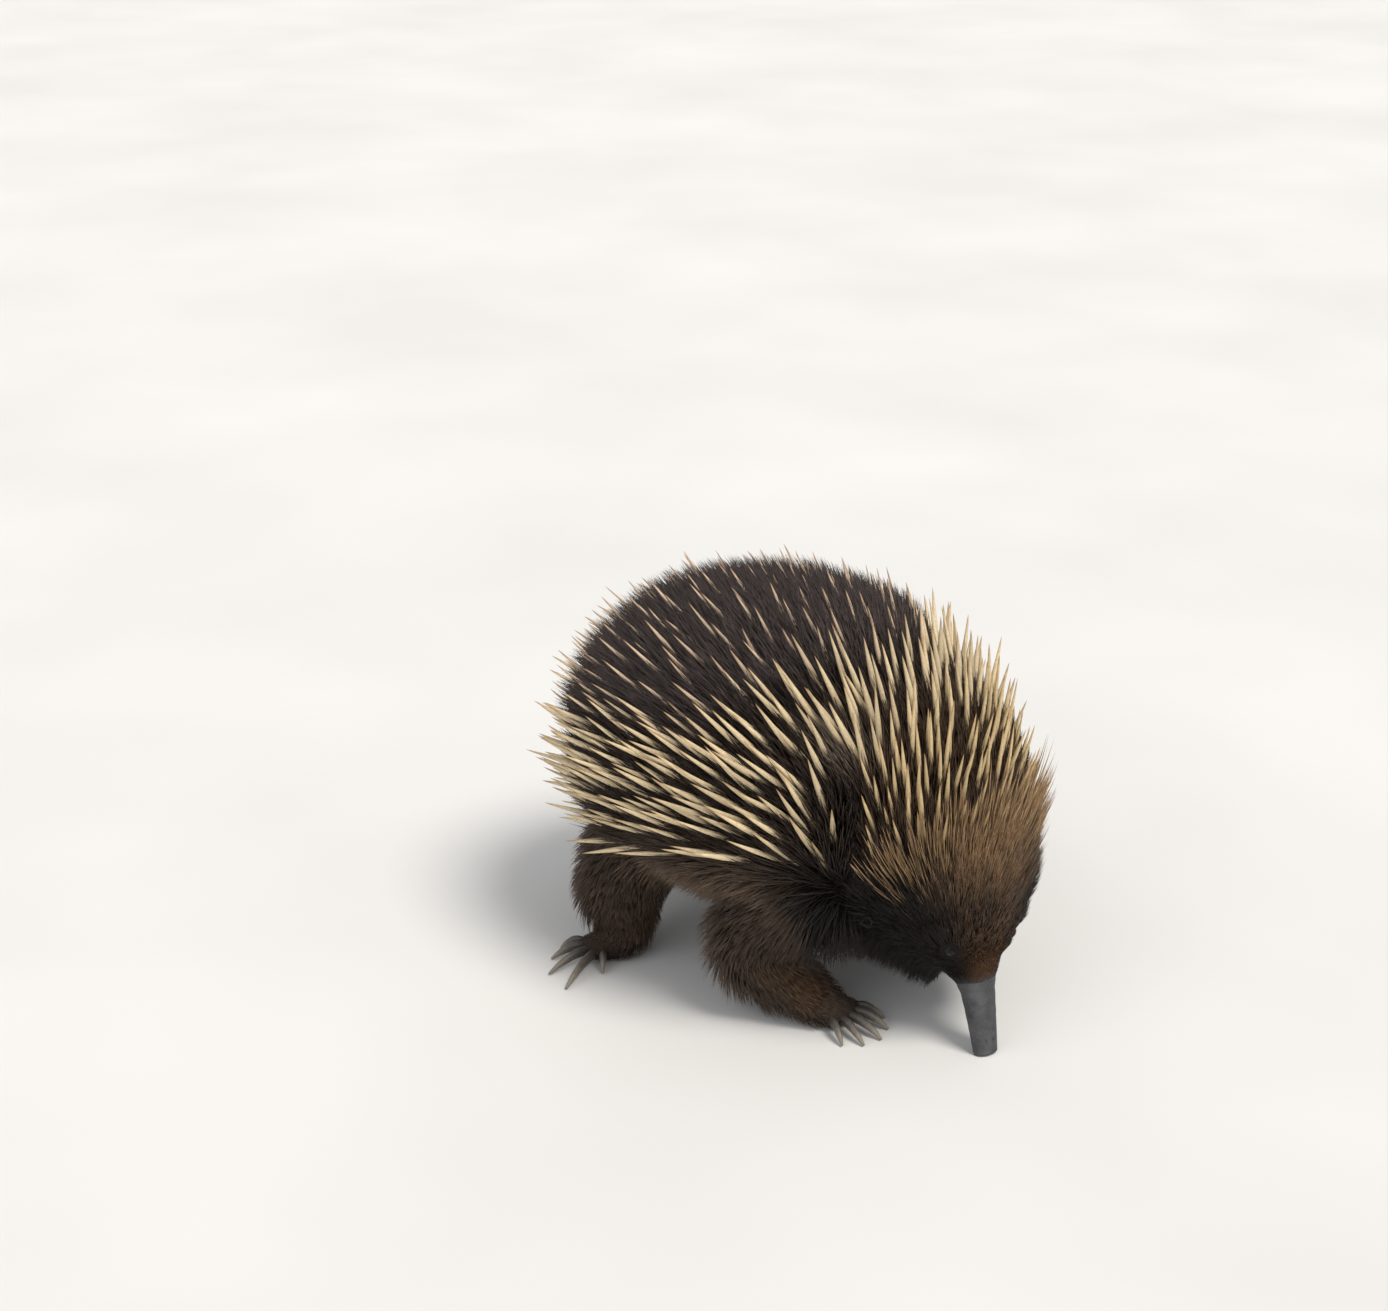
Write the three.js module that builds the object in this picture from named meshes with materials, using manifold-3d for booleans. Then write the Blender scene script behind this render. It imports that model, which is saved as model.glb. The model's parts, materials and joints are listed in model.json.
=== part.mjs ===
// A short-beaked echidna at life size, standing with its head lowered so that the beak reaches the ground.
// Millimetres, +Z up, the animal faces -Y and its left side is +X. The origin is on the ground under it.

import * as THREE from "three";
import { mergeVertices } from "three/addons/utils/BufferGeometryUtils.js";
import Module from "manifold-3d";

const wasm = await Module();
wasm.setup();

// Driving dimensions
const GAP = 0.5; // clearance left between neighbouring pieces
const GROUND_REACH = 400; // half size of the block that trims everything at ground level
const SECTION_POWER = 0.94; // under 1 makes the body's sections slightly fuller than ellipses

// Sections of the trunk, neck, head and beak from rump to beak tip.
// place: forward, left, up. size: half width, height above and below the place. turn: heading to the right.
// coat: how far the tips of the spines and hair stand off the skin.
const BACKBONE = [
  { place: [-118, 0, 82], size: [8, 8, 8], turn: 0, coat: 46 },
  { place: [-110, 0, 86], size: [33, 33, 28], turn: 0, coat: 47 },
  { place: [-90, 0, 94], size: [57, 59, 46], turn: 0, coat: 47 },
  { place: [-56, 0, 104], size: [74, 77, 58], turn: 0, coat: 45 },
  { place: [-12, 0, 109], size: [80, 84, 62], turn: 0, coat: 41 },
  { place: [32, 0, 107], size: [76, 81, 60], turn: 0, coat: 39 },
  { place: [66, -1, 100], size: [65, 69, 55], turn: 3, coat: 36 },
  { place: [90, -4, 88], size: [51, 54, 48], turn: 9, coat: 27 },
  { place: [107, -8, 74], size: [38, 38, 38], turn: 15, coat: 16 },
  { place: [118, -12, 61], size: [26, 26, 25], turn: 19, coat: 9 },
  { place: [126.5, -15, 47], size: [14, 13.5, 13.5], turn: 20, coat: 0 },
  { place: [132, -17, 34], size: [9.6, 8.6, 8], turn: 20, coat: 0 },
  { place: [137, -19, 18], size: [8.2, 6.6, 6], turn: 20, coat: 0 },
  { place: [141, -20, 0.5], size: [7, 5.2, 4.8], turn: 20, coat: 0 },
];
const LAST = BACKBONE.length - 1;
const station = (index) => index / LAST;

// Where the whole body is parted, as stations of the backbone.
const NECK_AT = station(6);
const HEAD_AT = station(6.9);
const BEAK_AT = station(10);

// The coat is full above one height on a section and thin below another: 1 is the back and -1 the belly.
const COAT_FULL_ABOVE = -0.35;
const COAT_THIN_BELOW = -0.85;
const BELLY_SHARE = 0.18;

const at = (forward, left, up) => new THREE.Vector3(left, -forward, up);
const lineOf = (read) => new THREE.CatmullRomCurve3(BACKBONE.map((s) => new THREE.Vector3(...read(s))));
const BODY_LINE = new THREE.CatmullRomCurve3(BACKBONE.map((s) => at(...s.place)));
const BODY_SIZE = lineOf((s) => s.size);
const BODY_DRESS = lineOf((s) => [s.turn, s.coat, 0]);

// The section of the body at t, from 0 at the rump to 1 at the beak tip.
function bodySection(t) {
  const place = BODY_LINE.getPoint(t);
  const ahead = BODY_LINE.getTangent(t);
  const dress = BODY_DRESS.getPoint(t);
  const turn = THREE.MathUtils.degToRad(dress.x);
  const left = new THREE.Vector3(Math.cos(turn), -Math.sin(turn), 0);
  const up = new THREE.Vector3().crossVectors(ahead, left).normalize();
  left.crossVectors(up, ahead).normalize();
  return { place, ahead, left, up, size: BODY_SIZE.getPoint(t), coat: dress.y };
}

// A point of the bare skin: angle 0 is the body's left side and a quarter turn is its back.
function skinPoint(t, angle) {
  const s = bodySection(t);
  const wide = Math.cos(angle);
  const high = Math.sin(angle);
  const across = s.size.x * Math.sign(wide) * Math.abs(wide) ** SECTION_POWER;
  const rise = (high > 0 ? s.size.y : s.size.z) * Math.sign(high) * Math.abs(high) ** SECTION_POWER;
  return s.place.addScaledVector(s.left, across).addScaledVector(s.up, rise);
}

// The direction straight out of the skin there, from two small steps over it.
function skinNormal(t, angle) {
  const step = 0.01;
  const along = skinPoint(Math.min(1, t + step), angle).sub(skinPoint(Math.max(0, t - step), angle));
  const round = skinPoint(t, angle + step).sub(skinPoint(t, angle - step));
  return round.cross(along).normalize();
}

// How far the coat's tips stand off the skin there.
function coatDepth(t, angle) {
  const full = THREE.MathUtils.smoothstep(Math.sin(angle), COAT_THIN_BELOW, COAT_FULL_ABOVE);
  return bodySection(t).coat * (BELLY_SHARE + (1 - BELLY_SHARE) * full);
}

// A point over the skin, lifted by a share of the coat.
const coatPoint = (t, angle, share) =>
  skinPoint(t, angle).addScaledVector(skinNormal(t, angle), coatDepth(t, angle) * share);

// A closed skin over rings of equally many points, with a flat cap at each end.
function skin(rings) {
  const around = rings[0].length;
  const points = rings.flat();
  const faces = [];
  for (let row = 0; row + 1 < rings.length; row += 1) {
    for (let k = 0; k < around; k += 1) {
      const a = row * around + k;
      const b = row * around + ((k + 1) % around);
      faces.push(a, b, b + around, a, b + around, a + around);
    }
  }
  const caps = [rings[0], rings[rings.length - 1]];
  caps.forEach((ring, end) => {
    const hub = points.length;
    const first = end ? (rings.length - 1) * around : 0;
    points.push(ring.reduce((sum, p) => sum.add(p), new THREE.Vector3()).divideScalar(around));
    for (let k = 0; k < around; k += 1) {
      const pair = [first + k, first + ((k + 1) % around)];
      faces.push(...(end ? pair : pair.reverse()), hub);
    }
  });
  const geometry = new THREE.BufferGeometry();
  geometry.setAttribute("position", new THREE.Float32BufferAttribute(points.flatMap((p) => p.toArray()), 3));
  geometry.setIndex(faces);
  return geometry;
}

// A geometry with only its positions, shared vertices merged and faces pointing out.
function bare(geometry) {
  const copy = geometry.clone();
  copy.deleteAttribute("normal");
  copy.deleteAttribute("uv");
  const merged = mergeVertices(copy, 1e-4);
  const position = merged.getAttribute("position");
  const index = merged.index.array;
  const [a, b, c] = [new THREE.Vector3(), new THREE.Vector3(), new THREE.Vector3()];
  let volume = 0;
  for (let i = 0; i < index.length; i += 3) {
    a.fromBufferAttribute(position, index[i]);
    b.fromBufferAttribute(position, index[i + 1]);
    c.fromBufferAttribute(position, index[i + 2]);
    volume += a.dot(b.cross(c));
  }
  if (volume < 0) {
    for (let i = 0; i < index.length; i += 3) {
      [index[i + 1], index[i + 2]] = [index[i + 2], index[i + 1]];
    }
  }
  return merged;
}

function solidOf(geometry) {
  const merged = bare(geometry);
  const vertProperties = merged.getAttribute("position").array;
  const triVerts = new Uint32Array(merged.index.array);
  return new wasm.Manifold(new wasm.Mesh({ numProp: 3, vertProperties, triVerts }));
}

function geometryOf(solid) {
  const mesh = solid.getMesh();
  const geometry = new THREE.BufferGeometry();
  geometry.setAttribute("position", new THREE.BufferAttribute(mesh.vertProperties, 3));
  geometry.setIndex(new THREE.BufferAttribute(mesh.triVerts, 1));
  return geometry;
}

// The same closed shape, every vertex moved out along its normal.
function swollen(geometry, distance) {
  const copy = bare(geometry);
  copy.computeVertexNormals();
  const position = copy.getAttribute("position");
  const normal = copy.getAttribute("normal");
  for (let i = 0; i < position.count; i += 1) {
    position.setXYZ(
      i,
      position.getX(i) + normal.getX(i) * distance,
      position.getY(i) + normal.getY(i) * distance,
      position.getZ(i) + normal.getZ(i) * distance,
    );
  }
  return copy;
}

// The largest closed body of a solid: it drops loose scraps and fills sealed hollows.
function largest(solid) {
  return solid.decompose().reduce((best, piece) => (piece.volume() > best.volume() ? piece : best));
}

const above = new THREE.BoxGeometry(2 * GROUND_REACH, 2 * GROUND_REACH, GROUND_REACH);
above.translate(0, 0, GROUND_REACH / 2);
const ABOVE_GROUND = solidOf(above);

// Evenly spread rows from one station of the body to another.
const rowsOf = (from, to, count) =>
  Array.from({ length: count + 1 }, (_, k) => from + ((to - from) * k) / count);

// The body over these rows, its surface standing off by a share of the coat, with its cut ends drawn in.
function bodyOver(rows, around, share) {
  const rings = rows.map((t, row) => {
    const first = row === 0 && t > 0;
    const last = row === rows.length - 1 && t < 1;
    const drawn = (first ? GAP / 2 : 0) - (last ? GAP / 2 : 0);
    return Array.from({ length: around }, (_, k) =>
      coatPoint(t, (2 * Math.PI * (k + 0.5)) / around, share).addScaledVector(bodySection(t).ahead, drawn),
    );
  });
  return skin(rings);
}

// A limb, tail or claw: a smooth line through places, with an oval section of the given half sizes at each.
// across is the direction that the first half size lies along.
function limbForm(places, sizes, across) {
  const line = new THREE.CatmullRomCurve3(places.map((place) => at(...place)));
  const girth = new THREE.CatmullRomCurve3(sizes.map(([wide, high]) => new THREE.Vector3(wide, high, 0)));
  return (t, angle) => {
    const ahead = line.getTangent(t);
    const side = across.clone().addScaledVector(ahead, -across.dot(ahead)).normalize();
    const rise = new THREE.Vector3().crossVectors(ahead, side);
    const size = girth.getPoint(t);
    const out = side.clone().multiplyScalar(Math.cos(angle) / size.x);
    out.addScaledVector(rise, Math.sin(angle) / size.y);
    const point = line
      .getPoint(t)
      .addScaledVector(side, size.x * Math.cos(angle))
      .addScaledVector(rise, size.y * Math.sin(angle));
    return { point, ahead, out: out.normalize() };
  };
}

const turnOf = (k, count) => (2 * Math.PI * k) / count;
function limbSkin(form, rows, around) {
  const ringAt = (t) => Array.from({ length: around }, (_, k) => form(t, turnOf(k, around)).point);
  return skin(rowsOf(0, 1, rows).map(ringAt));
}

// A closed shape over rings of equally many points that ends in a single tip.
function pointed(rings, tip) {
  const around = rings[0].length;
  const points = [...rings.flat(), tip];
  const last = points.length - 1;
  const faces = [];
  for (let k = 1; k + 1 < around; k += 1) faces.push(0, k + 1, k);
  rings.forEach((ring, row) => {
    for (let k = 0; k < around; k += 1) {
      const a = row * around + k;
      const b = row * around + ((k + 1) % around);
      if (row + 1 < rings.length) faces.push(a, b, b + around, a, b + around, a + around);
      else faces.push(a, b, last);
    }
  });
  const geometry = new THREE.BufferGeometry();
  geometry.setAttribute("position", new THREE.Float32BufferAttribute(points.flatMap((p) => p.toArray()), 3));
  geometry.setIndex(faces);
  return geometry;
}

// The same random numbers at every run.
let seed = 20417;
function random(low = 0, high = 1) {
  seed = (seed + 0x6d2b79f5) | 0;
  let mixed = Math.imul(seed ^ (seed >>> 15), 1 | seed);
  mixed = (mixed + Math.imul(mixed ^ (mixed >>> 7), 61 | mixed)) ^ mixed;
  return low + ((high - low) * ((mixed ^ (mixed >>> 14)) >>> 0)) / 2 ** 32;
}

const FUR = new THREE.MeshStandardMaterial({ color: 0x3a2c20, roughness: 0.9, metalness: 0 });
const SPINE_COAT = new THREE.MeshStandardMaterial({ color: 0x8c7a58, roughness: 0.75, metalness: 0 });
const SKIN_GREY = new THREE.MeshStandardMaterial({ color: 0x4a4a4c, roughness: 0.7, metalness: 0 });
const CLAW_HORN = new THREE.MeshStandardMaterial({ color: 0x4b463f, roughness: 0.5, metalness: 0 });
const EYE_BLACK = new THREE.MeshStandardMaterial({ color: 0x0c0a09, roughness: 0.1, metalness: 0 });

const echidna = new THREE.Group();

// Adds a node: the part of a solid above the ground, as one closed body.
function addNode(name, solid, material) {
  const mesh = new THREE.Mesh(geometryOf(largest(solid.intersect(ABOVE_GROUND))), material);
  mesh.name = name;
  echidna.add(mesh);
}

// A solid less the swollen shape of each neighbour, and a solid with many pieces joined to it.
const clearOf = (solid, neighbours) =>
  neighbours.reduce((left, other) => left.subtract(solidOf(swollen(other, GAP))), solid);
const joined = (solid, pieces) => wasm.Manifold.union([solid, ...pieces.map(solidOf)]);

// The body out to the dense hair that the spines stand in
const COAT_SHARE = 0.45;
const BODY_SIDES = 28;
const BEAK_SIDES = 16;
const TORSO_ROWS = rowsOf(0, NECK_AT, 16);
const NECK_ROWS = rowsOf(NECK_AT, HEAD_AT, 3);
const HEAD_ROWS = rowsOf(HEAD_AT, BEAK_AT, 8);
const torsoShape = bodyOver(TORSO_ROWS, BODY_SIDES, COAT_SHARE);
const neckShape = bodyOver(NECK_ROWS, BODY_SIDES, COAT_SHARE);
const headShape = bodyOver(HEAD_ROWS, BODY_SIDES, COAT_SHARE);
const ALL_ROWS = [...TORSO_ROWS, ...NECK_ROWS.slice(1), ...HEAD_ROWS.slice(1)];
const wholeShape = bodyOver(ALL_ROWS, BODY_SIDES, COAT_SHARE);
const beakShape = bodyOver(rowsOf(BEAK_AT, 1, 6), BEAK_SIDES, 0);

// The two sides of the body, and legs with their feet. Places run from the shoulder or hip to the toes,
// as forward, outwards and up. The left feet stand a step apart from the right ones.
const SIDES = [
  { name: "right", sign: -1 },
  { name: "left", sign: 1 },
];
const FORELEG = {
  name: "foreleg",
  places: [[56, 40, 88], [28, 62, 62], [22, 68, 42], [37, 60, 24], [52, 52, 11], [66, 48, 6]],
  sizes: [[30, 32], [28, 30], [25, 24], [20, 19], [16, 12], [14, 8]],
  across: new THREE.Vector3(1, 0, 0),
  step: { right: 0, left: -16 },
};
const HINDLEG = {
  name: "hindleg",
  places: [[-64, 44, 82], [-78, 58, 58], [-82, 63, 38], [-80, 64, 20], [-81, 70, 9], [-85, 82, 6]],
  sizes: [[32, 32], [30, 31], [27, 28], [20, 21], [16, 12], [14, 8]],
  across: new THREE.Vector3(0, 1, 0),
  step: { right: 0, left: 14 },
};

// The places of a leg on one side, each drawn along by its share of the step.
function placesOf(leg, { name, sign }) {
  const last = leg.places.length - 1;
  return leg.places.map(([forward, out, up], k) => [forward + (leg.step[name] * k) / last, out * sign, up]);
}

// What the spines and locks have to pass: thin pieces of other nodes as lines, and legs as balls.
const lines = [];
const LEG_STEPS = 12;
const legBalls = [FORELEG, HINDLEG].flatMap((leg) =>
  SIDES.flatMap((side) => {
    const form = limbForm(placesOf(leg, side), leg.sizes, leg.across);
    return rowsOf(0, 1, LEG_STEPS).map((t) => {
      const [low, high] = [form(t, 0).point, form(t, Math.PI).point];
      return { centre: low.clone().lerp(high, 0.5), radius: low.distanceTo(high) / 2 };
    });
  }),
);

// The shortest distance between two straight pieces, by steps along the first.
function distanceBetween(first, second) {
  const steps = 8;
  const run = new THREE.Line3(second.from, second.to);
  const near = new THREE.Vector3();
  return Math.min(
    ...rowsOf(0, 1, steps).map((t) => {
      const point = first.from.clone().lerp(first.to, t);
      return run.closestPointToPoint(point, true, near).distanceTo(point);
    }),
  );
}

const CLEARANCE = 1.2; // free room between pieces of different nodes, over their widths

// Whether a thin piece passes clear of the pieces of other nodes, of the legs and of the ground.
function passes(line) {
  const low = 1.5;
  if (Math.min(line.from.z, line.to.z) < low) return false;
  const crossing = lines.some((other) => {
    if (other.node === line.node) return false;
    return distanceBetween(line, other) < line.radius + other.radius + CLEARANCE;
  });
  if (crossing) return false;
  if (line.node === "leg") return true;
  return rowsOf(0, 1, 6).every((t) => {
    const point = line.from.clone().lerp(line.to, t);
    return legBalls.every((ball) => ball.centre.distanceTo(point) > ball.radius + line.radius + CLEARANCE);
  });
}

// Spines. A spine's root is sunk under the dense hair; it is thickest a third of the way out.
const ROOT_DEPTH = 6;
const LONGEST = 46; // of what shows of a spine over the dense hair
const UP = new THREE.Vector3(0, 0, 1);
const SPINE_SIDES = 4;
function spine(line, reach, radius) {
  const ahead = line.to.clone().sub(line.from).normalize();
  const side = new THREE.Vector3(0, 0, 1).cross(ahead).normalize();
  const rise = new THREE.Vector3().crossVectors(ahead, side);
  const ring = (out, wide) =>
    Array.from({ length: SPINE_SIDES }, (_, k) =>
      line.from
        .clone()
        .addScaledVector(ahead, out)
        .addScaledVector(side, wide * Math.cos(turnOf(k, SPINE_SIDES)))
        .addScaledVector(rise, wide * Math.sin(turnOf(k, SPINE_SIDES))),
    );
  return pointed([ring(0, radius * 0.7), ring(ROOT_DEPTH + reach * 0.33, radius)], line.to);
}

// The lower edge of the spines, as an angle round the section, falls towards the rump.
const EDGE_AT_RUMP = -0.62;
const EDGE_AT_NECK = -0.12;
const spineEdge = (t) => THREE.MathUtils.lerp(EDGE_AT_RUMP, EDGE_AT_NECK, Math.min(1, t / NECK_AT));

// Spines over a stretch of the body in staggered rows, leaning back along it. lean is how much further a
// spine runs back than out, rise how much further up on the flanks, and trim is the shortest part of the
// coat's depth that its tip reaches.
// others are the solids of the neighbouring nodes, which no spine may meet.
function spinesOver(node, others, { from, to, spacing, radius, lean, rise, edge, trim }) {
  const pieces = [];
  const jitter = 0.3;
  let t = from;
  for (let row = 0; t <= to; row += 1) {
    const low = edge ?? spineEdge(t);
    const high = Math.PI - low;
    const arc = rowsOf(low, high, 16).map((angle) => coatPoint(t, angle, COAT_SHARE));
    const length = arc.slice(1).reduce((sum, point, k) => sum + point.distanceTo(arc[k]), 0);
    const count = Math.max(3, Math.round(length / spacing));
    for (let k = 0; k < count; k += 1) {
      const share = (k + (row % 2 ? 0.75 : 0.25) + random(-jitter, jitter) * 0.5) / count;
      const angle = THREE.MathUtils.lerp(low, high, share);
      const place = Math.min(to, Math.max(from, t + random(-jitter, jitter) * 0.006));
      const start = coatPoint(place, angle, COAT_SHARE);
      const out = skinNormal(place, angle);
      for (let attempt = 0; attempt < 5; attempt += 1) {
        const sway = new THREE.Vector3(random(-1, 1), random(-1, 1), random(-1, 1)).multiplyScalar(0.14);
        const ahead = out
          .clone()
          .addScaledVector(bodySection(place).ahead, -lean * random(0.85, 1.15))
          .addScaledVector(UP, rise * Math.cos(angle) ** 2)
          .add(sway)
          .normalize();
        const depth = coatDepth(place, angle) * (1 - COAT_SHARE) * random(trim, 1);
        const reach = Math.min(LONGEST, depth / Math.max(0.4, ahead.dot(out)));
        const line = {
          node,
          radius,
          from: start.clone().addScaledVector(ahead, -ROOT_DEPTH),
          to: start.clone().addScaledVector(ahead, reach),
        };
        const piece = spine(line, reach, radius * random(0.85, 1.1));
        const meets = (other) => !solidOf(piece).intersect(other).isEmpty();
        if (!passes(line) || others.some(meets)) continue;
        lines.push(line);
        pieces.push(piece);
        break;
      }
    }
    const step = 0.004;
    const pace = (angle) => coatPoint(t + step, angle, COAT_SHARE).distanceTo(coatPoint(t, angle, COAT_SHARE));
    t += (spacing * 0.9 * step) / ((pace(Math.PI / 2) + pace(0.2)) / 2);
  }
  return pieces;
}

const swollenSolid = (shape) => solidOf(swollen(shape, GAP));
const [torsoRoom, neckRoom, headRoom] = [torsoShape, neckShape, headShape].map(swollenSolid);
const torsoSpines = spinesOver("torso", [neckRoom], {
  from: 0.015,
  to: station(5.75),
  spacing: 19,
  radius: 2.1,
  lean: 1,
  rise: 0.6,
  trim: 0.85,
});
const neckSpines = spinesOver("neck", [torsoRoom, headRoom], {
  from: station(6.25),
  to: station(6.6),
  spacing: 13,
  radius: 1.7,
  lean: 1,
  rise: 1,
  edge: -0.05,
  trim: 0.85,
});
const headBristles = spinesOver("head", [neckRoom], {
  from: station(7.25),
  to: station(8.7),
  spacing: 14.5,
  radius: 1.1,
  lean: 1.3,
  rise: 0.8,
  edge: 0.15,
  trim: 0.75,
});

// Eyes: balls in sockets of the head between two lids, at a station and a height round its section.
const EYE = { t: station(9.3), angle: 0.62, radius: 3.8, sunk: 1.5 };
const LID = { radius: 4.3, thick: 0.95, open: 0.72, rise: 0.4 };
// Ears: shallow upright cups behind the eyes.
const EAR = { t: station(7.4), angle: -0.08, radius: 6.5, wall: 1.3, depth: 4, sunk: 2 };
const onSide = (angle, sign) => (sign > 0 ? angle : Math.PI - angle);

// The frame on the surface at a station and angle: x along the body, y straight out, z across.
function surfaceFrame(t, angle, sunk) {
  const out = skinNormal(t, angle);
  const across = new THREE.Vector3().crossVectors(out, bodySection(t).ahead).normalize();
  const along = new THREE.Vector3().crossVectors(across, out).normalize();
  const place = coatPoint(t, angle, COAT_SHARE).addScaledVector(out, -sunk);
  const third = new THREE.Vector3().crossVectors(along, out);
  return new THREE.Matrix4().makeBasis(along, out, third).setPosition(place);
}

function eyeBall(sign) {
  const ball = new THREE.IcosahedronGeometry(EYE.radius, 1);
  return ball.applyMatrix4(surfaceFrame(EYE.t, onSide(EYE.angle, sign), EYE.sunk));
}

// The rim of both lids, narrower across the eye than along it.
function eyeLids(sign) {
  const rim = new THREE.TorusGeometry(LID.radius, LID.thick, 5, 14);
  rim.rotateX(Math.PI / 2);
  rim.scale(1, 1, LID.open);
  return rim.applyMatrix4(surfaceFrame(EYE.t, onSide(EYE.angle, sign), -LID.rise));
}

// A cup with a round lip, open outwards.
function earCup(sign) {
  const profile = [
    [0, 0],
    [EAR.radius * 0.7, 0],
    [EAR.radius, EAR.depth],
    [EAR.radius - EAR.wall, EAR.depth],
    [EAR.radius * 0.6 - EAR.wall / 2, EAR.wall],
    [0, EAR.wall],
  ].map(([x, y]) => new THREE.Vector2(x, y));
  const cup = new THREE.LatheGeometry(profile, 10);
  cup.scale(0.62, 1, 1);
  return cup.applyMatrix4(surfaceFrame(EAR.t, onSide(EAR.angle, sign), EAR.sunk));
}

// The mouth is a shallow groove round the beak's tip, and two slits near it are the nostrils.
const MOUTH = { length: 13, high: 0.8, below: 1.4, deep: 1.1 };
const NOSTRIL = { t: station(12.6), apart: 2.3, size: [0.8, 1, 1.9] };
function carvedBeak() {
  const tip = bodySection(1);
  const turned = new THREE.Matrix4().makeBasis(tip.left, tip.up, tip.left.clone().cross(tip.up));
  const slab = new THREE.BoxGeometry(30, MOUTH.high, 2 * MOUTH.length);
  slab.applyMatrix4(turned.clone().setPosition(tip.place.clone().addScaledVector(tip.up, -MOUTH.below)));
  const groove = solidOf(slab).subtract(solidOf(swollen(beakShape, -MOUTH.deep)));
  const s = bodySection(NOSTRIL.t);
  const slits = SIDES.map(({ sign }) => {
    const slit = new THREE.IcosahedronGeometry(1, 1).scale(...NOSTRIL.size);
    const place = s.place
      .clone()
      .addScaledVector(s.up, s.size.y * 0.93)
      .addScaledVector(s.left, sign * NOSTRIL.apart);
    const basis = new THREE.Matrix4().makeBasis(s.left, s.up, s.left.clone().cross(s.up));
    return slit.applyMatrix4(basis.setPosition(place));
  });
  return slits.reduce((beak, slit) => beak.subtract(solidOf(slit)), solidOf(beakShape).subtract(groove));
}

const eyes = SIDES.map(({ sign }) => eyeBall(sign));
const ears = SIDES.map(({ sign }) => earCup(sign));
addNode("torso", joined(solidOf(torsoShape), torsoSpines), SPINE_COAT);
addNode("neck", joined(solidOf(neckShape), neckSpines), SPINE_COAT);
const headForms = [...headBristles, ...SIDES.map(({ sign }) => eyeLids(sign))];
addNode("head", clearOf(joined(solidOf(headShape), headForms), eyes), FUR);
addNode("beak", carvedBeak(), SKIN_GREY);
SIDES.forEach(({ name }, side) => {
  addNode(`eye_${name}`, solidOf(eyes[side]), EYE_BLACK);
  addNode(`ear_${name}`, clearOf(solidOf(ears[side]), [wholeShape]), SKIN_GREY);
});

// Tail: a short stub under the rump
const TAIL = {
  places: [[-90, 0, 64], [-112, 0, 56], [-130, 0, 46]],
  sizes: [[17, 14], [13, 11], [7, 6]],
};
const tailForm = limbForm(TAIL.places, TAIL.sizes, new THREE.Vector3(1, 0, 0));
addNode("tail", clearOf(solidOf(limbSkin(tailForm, 5, 12)), [wholeShape]), FUR);

// Claws fan out from a hub in each foot (forward, outwards), their roots at a reach from it. From the inner
// toe to the outer one, heading is each claw's angle outwards from straight ahead in degrees.
const FORE_CLAWS = {
  hub: [49, 48],
  reach: 22.5,
  claws: [
    { heading: -31, length: 14, wide: 2.1 },
    { heading: -15.5, length: 19, wide: 2.3 },
    { heading: 0, length: 21, wide: 2.4 },
    { heading: 15.5, length: 19, wide: 2.3 },
    { heading: 31, length: 14, wide: 2.1 },
  ],
};
const HIND_CLAWS = {
  hub: [-84, 78],
  reach: 14,
  claws: [
    { heading: 50, length: 9, wide: 2.2 },
    { heading: 76, length: 31, wide: 2.4 },
    { heading: 101, length: 25, wide: 2.4 },
    { heading: 126, length: 17, wide: 2.2 },
    { heading: 151, length: 12, wide: 2.1 },
  ],
};
const CLAW_SUNK = 2.5; // how far a claw's root reaches back into its foot
const CLAW_ROWS = 4;
const CLAW_SIDES = 6;

// The places, sizes and direction across of one claw, for limbForm.
function clawPlaces({ hub, reach }, { heading, length, wide }, sign, step) {
  const turn = THREE.MathUtils.degToRad(heading);
  const along = (out, up) => [
    hub[0] + step + (reach + out) * Math.cos(turn),
    sign * (hub[1] + (reach + out) * Math.sin(turn)),
    up,
  ];
  const places = [
    along(-CLAW_SUNK, 7),
    along(length * 0.25, 7.5),
    along(length * 0.7, 4.6),
    along(length, 1.2),
  ];
  const sizes = [[wide, 3], [wide, 2.8], [wide * 0.75, 1.9], [wide * 0.3, 0.7]];
  const across = new THREE.Vector3(Math.cos(turn), sign * Math.sin(turn), 0); // level, square to the heading
  return [places, sizes, across];
}

// Flat pointed locks of longer fur down the back and outer side of a leg, bent towards its foot.
const LOCK = { wide: 4.6, thick: 1.5, length: [15, 21], rows: [0.34, 0.5, 0.64], fan: [-1.2, 0, 1.2] };
function legLocks(form, sign) {
  const pieces = [];
  LOCK.rows.forEach((t, row) => {
    LOCK.fan.forEach((fan) => {
      const outward = sign > 0 ? 0 : Math.PI;
      const angle = outward + sign * fan + random(-0.12, 0.12) + row * 0.2;
      const { point, ahead, out } = form(t, angle);
      const length = random(...LOCK.length);
      const along = ahead.clone().multiplyScalar(0.9).addScaledVector(out, 0.5).normalize();
      const across = new THREE.Vector3().crossVectors(along, out).normalize();
      const rise = new THREE.Vector3().crossVectors(across, along);
      const middle = (share) =>
        point
          .clone()
          .addScaledVector(along, length * share)
          .addScaledVector(rise, -length * 0.22 * share * share);
      const from = point.clone().addScaledVector(out, -4);
      const ring = (centre, wide, thick) => [
        centre.clone().addScaledVector(across, wide),
        centre.clone().addScaledVector(rise, thick),
        centre.clone().addScaledVector(across, -wide),
        centre.clone().addScaledVector(rise, -thick),
      ];
      const line = { node: "leg", radius: LOCK.wide, from: point.clone(), to: middle(1) };
      if (!passes(line)) return;
      const rings = [ring(from, LOCK.wide * 0.8, LOCK.thick), ring(middle(0.4), LOCK.wide, LOCK.thick)];
      rings.push(ring(middle(0.75), LOCK.wide * 0.55, LOCK.thick * 0.6));
      pieces.push(pointed(rings, middle(1)));
    });
  });
  return pieces;
}

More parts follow.
